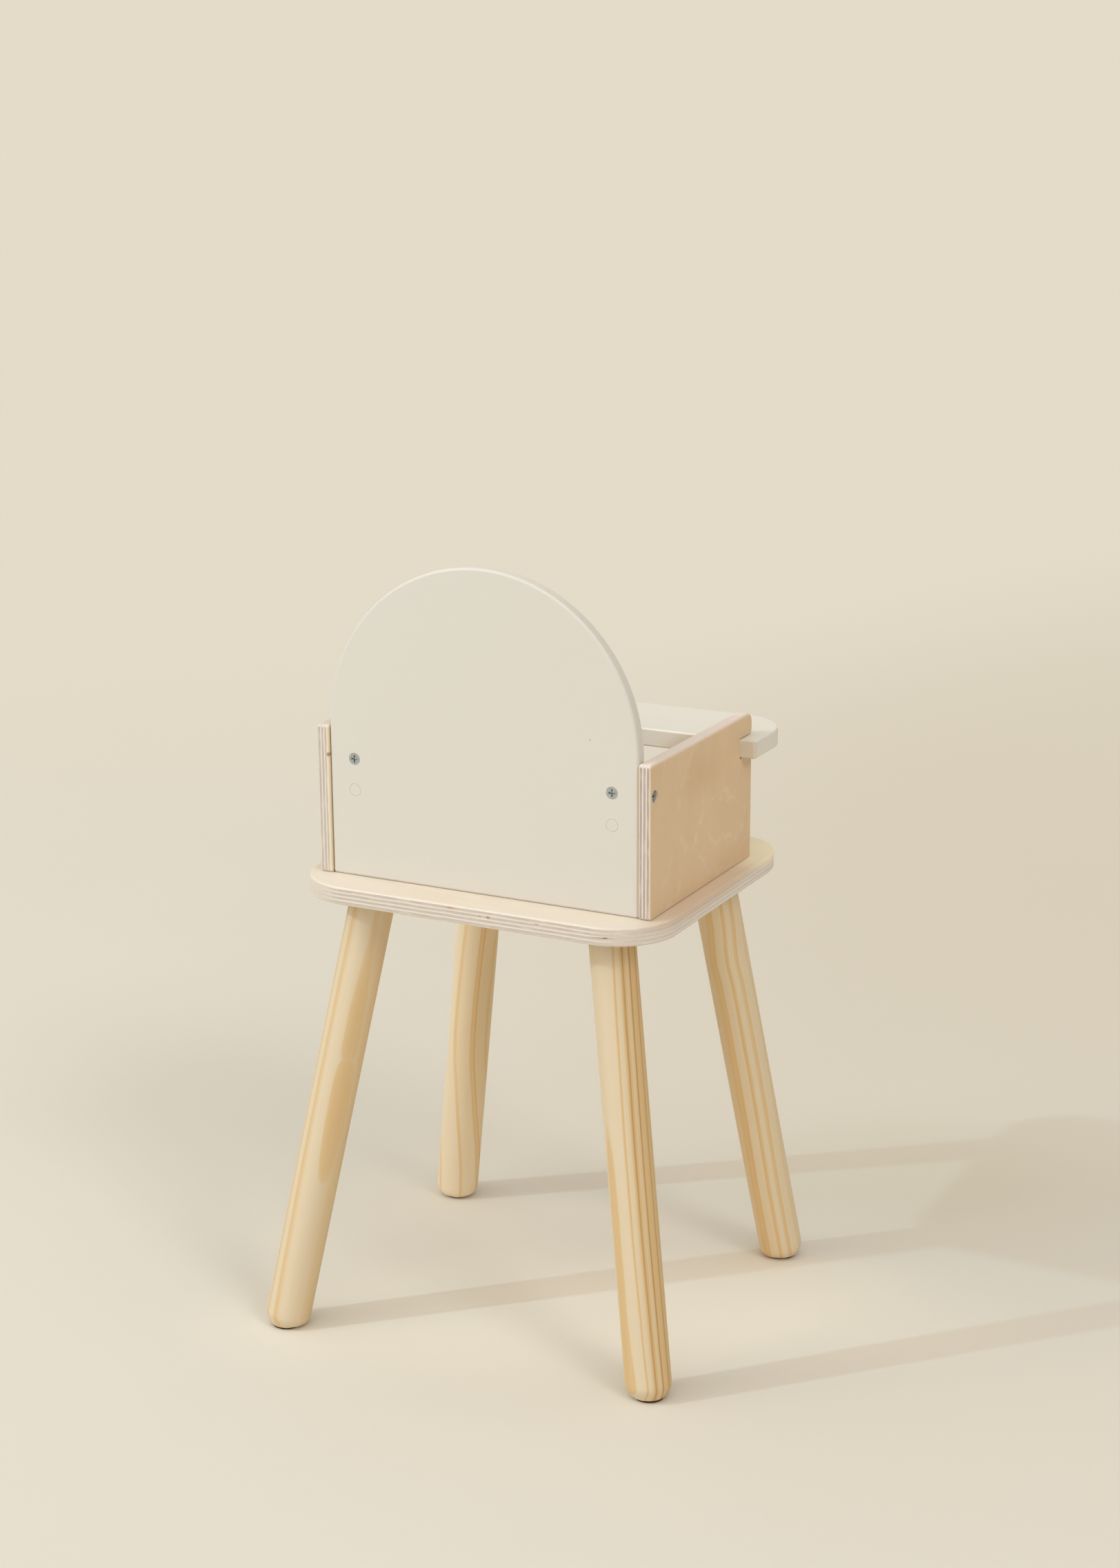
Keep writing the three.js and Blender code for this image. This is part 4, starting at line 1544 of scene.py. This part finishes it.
@dataclass
class Studio:
    """Floor, lamps and camera: angles in degrees, the sensor and the floor's patches in mm, other
    lengths in metres, and the photograph's height and centre row in its pixels. The floor turns
    plain between plain_from and plain_by from its middle. The painted light patch and the painted
    warm shade patch lie in the view's own directions."""

    photo_height: float = 2274.0
    focal_pixels: float = 3977.08
    centre_row: float = 1207.69
    azimuth: float = 207.368
    elevation: float = 16.489
    roll: float = -0.325
    distance: float = 1.80814
    target_across: float = 0.01028
    target_up: float = 0.32829
    sensor: float = 36.0
    clip: tuple[float, float] = (0.05, 200.0)
    floor_half: float = 60.0
    plain_from: float = 0.7
    plain_by: float = 2.4
    paper: Colour = colour(228, 219, 200)
    sheet: Colour = colour(226, 220, 207)
    sheet_shade: Colour = colour(223, 216, 203)
    # Painted shade: a broad darker patch on the far floor behind the chair.
    painted_shade_patch: Mark = Mark((-110.0, -1520.0, 0.0), (620.0, 1200.0, 1.0), 0.4, colour(206, 197, 176))
    # Painted light: a paler patch of floor under the chair.
    painted_light_patch: Mark = Mark((45.0, -46.0, 0.0), (185.0, 74.0, 1.0), 1.0, colour(243, 237, 222), 0.8)
    # Painted shade: a darker, warmer patch of floor beside the chair.
    painted_warm_shade_patch: Mark = Mark(
        (290.0, 185.0, 0.0), (120.0, 90.0, 1.0), 0.4, colour(214, 205, 180), 0.8
    )
    around: Colour = (1.0, 0.96, 0.87, 1.0)
    around_level: float = 0.2
    suns: tuple[Sun, ...] = (
        Sun("soft_top", (0.0, 0.4, 1.0), 1.84, 110.0, (1.0, 0.975, 0.925)),
        Sun("soft_right", (-0.89, 0.45, 0.8), 0.5, 18.0),
        Sun("broad_key", (1.725, 1.585, 1.5), 0.57, 32.0, (1.0, 0.68, 0.5)),
    )
    key_place: Triple = (1.725, 1.585, 1.788)
    key_energy: float = 68.0
    key_tint: Triple = (0.53, 0.83, 1.0)
    key_radius: float = 0.026

    def build(self) -> None:
        """Makes the camera, the floor, the lamps and the plain pale surroundings."""
        self._camera()
        self._floor()
        self._lamps()
        scene = bpy.context.scene
        scene.view_settings.view_transform = "Standard"

    def _camera(self) -> None:
        """The camera, at the photograph's place and with its framing."""
        a, e, c = (math.radians(v) for v in (self.azimuth, self.elevation, self.roll))
        back = Vector((math.sin(a) * math.cos(e), -math.cos(a) * math.cos(e), math.sin(e)))
        right = Vector((math.cos(a), math.sin(a), 0.0))
        up = back.cross(right)
        target = right * self.target_across + Vector((0.0, 0.0, self.target_up))
        right, up = right * math.cos(c) + up * math.sin(c), up * math.cos(c) - right * math.sin(c)
        data = bpy.data.cameras.new("photo_camera")
        data.sensor_width = self.sensor
        data.lens = self.focal_pixels / self.photo_height * self.sensor
        data.shift_y = (self.centre_row - self.photo_height / 2) / self.photo_height
        data.clip_start, data.clip_end = self.clip
        camera = bpy.data.objects.new("photo_camera", data)
        bpy.context.scene.collection.objects.link(camera)
        turn = Matrix((right, up, back)).transposed().to_4x4()
        camera.matrix_world = Matrix.Translation(target + back * self.distance) @ turn
        bpy.context.scene.camera = camera

    def _floor(self) -> None:
        """A wide level sheet of warm white paper, with patches of painted light and painted shade.
        Far from the chair it is seen at its plain colour, so that it runs on into the surroundings
        without a line."""
        span = self.floor_half
        corners = [(-span, -span, 0), (span, -span, 0), (span, span, 0), (-span, span, 0)]
        data = bpy.data.meshes.new("paper_floor")
        data.from_pydata(corners, [], [(0, 1, 2, 3)])
        floor = bpy.data.objects.new("paper_floor", data)
        bpy.context.scene.collection.objects.link(floor)
        bench = Bench.of_material("paper")
        place = bench.place()
        clouds = bench.noise(place, scale=3.0, detail=3.0).ramp(0.3, 0.8)
        tone = bench.mix(clouds * 0.3, self.sheet, self.sheet_shade)
        turn = (0.0, 0.0, math.radians(-self.azimuth))
        across = bench.add("ShaderNodeMapping", {}, {0: place, 2: turn})
        # Painted light and painted warm shade on the floor, laid out in the view's own directions.
        for patch in (self.painted_light_patch, self.painted_warm_shade_patch):
            tone = patch.on(bench, across, tone)
        # The painted shade patch darkens the far floor.
        tone = self.painted_shade_patch.on(bench, place, tone)
        data.materials.append(bench.dress(Base_Color=tone, Roughness=0.9, IOR=1.2))
        far = bench.add("ShaderNodeVectorMath", {"operation": "LENGTH"}, {0: place}, out="Value")
        seen = self._seen(bench) * far.ramp(self.plain_from, self.plain_by)
        # The painted shade patch darkens the plain colour too.
        glow = self.painted_shade_patch.on(bench, place, self.paper)
        plain = bench.add("ShaderNodeEmission", {}, {0: glow})
        both = bench.add("ShaderNodeMixShader", {}, {0: seen, 2: plain})
        bench.tree.links.new(bench.shader.outputs[0], both.socket.node.inputs[1])
        bench.tree.links.new(both.socket, bench.tree.nodes["Material Output"].inputs["Surface"])

    @staticmethod
    def _seen(bench: Bench) -> Wire:
        """1 for the camera and for a reflection, 0 for light on its way to the chair.

        Args:
            bench: The material or the surroundings in the making.

        Returns:
            The share.
        """
        camera = bench.add("ShaderNodeLightPath", {}, {}, out="Is Camera Ray")
        glossy = bench.add("ShaderNodeLightPath", {}, {}, out="Is Glossy Ray")
        return camera.higher_of(glossy)

    def _lamps(self) -> None:
        """Three broad lamps, a small sharp one from the rear left, and an even light from all
        round. The camera sees the surroundings in the paper's plain colour."""
        for sun in self.suns:
            sun.hang()
        data = bpy.data.lights.new("key", "POINT")
        data.energy = self.key_energy
        data.color = self.key_tint
        data.shadow_soft_size = self.key_radius
        lamp = bpy.data.objects.new("key", data)
        lamp.location = self.key_place
        bpy.context.scene.collection.objects.link(lamp)
        world = bpy.data.worlds.new("surroundings")
        bpy.context.scene.world = world
        bench = Bench(world, "Background")
        tone = bench.mix(self._seen(bench), self.around, self.paper)
        level = self._seen(bench) * (1 - self.around_level) + self.around_level
        bench.dress(Color=tone, Strength=level)


def main() -> None:
    """Builds the chair and its studio."""
    logging.basicConfig(level=logging.INFO, format="%(message)s")
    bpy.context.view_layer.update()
    pieces = [Seat().build(), *SidePanels().build(), *Back().build(), Tray().build()]
    for (end, side), (out, along) in LEG_LEANS.items():
        pieces += Leg(end, side, out, along, LEG_WOODS[end, side]).build()
    for piece in pieces:
        log.info("%s: %d triangles", piece.name, len(piece.data.polygons))
    log.info("metal nodes dressed: %d", Hardware().dress())
    Studio().build()


if __name__ == "__main__":
    main()
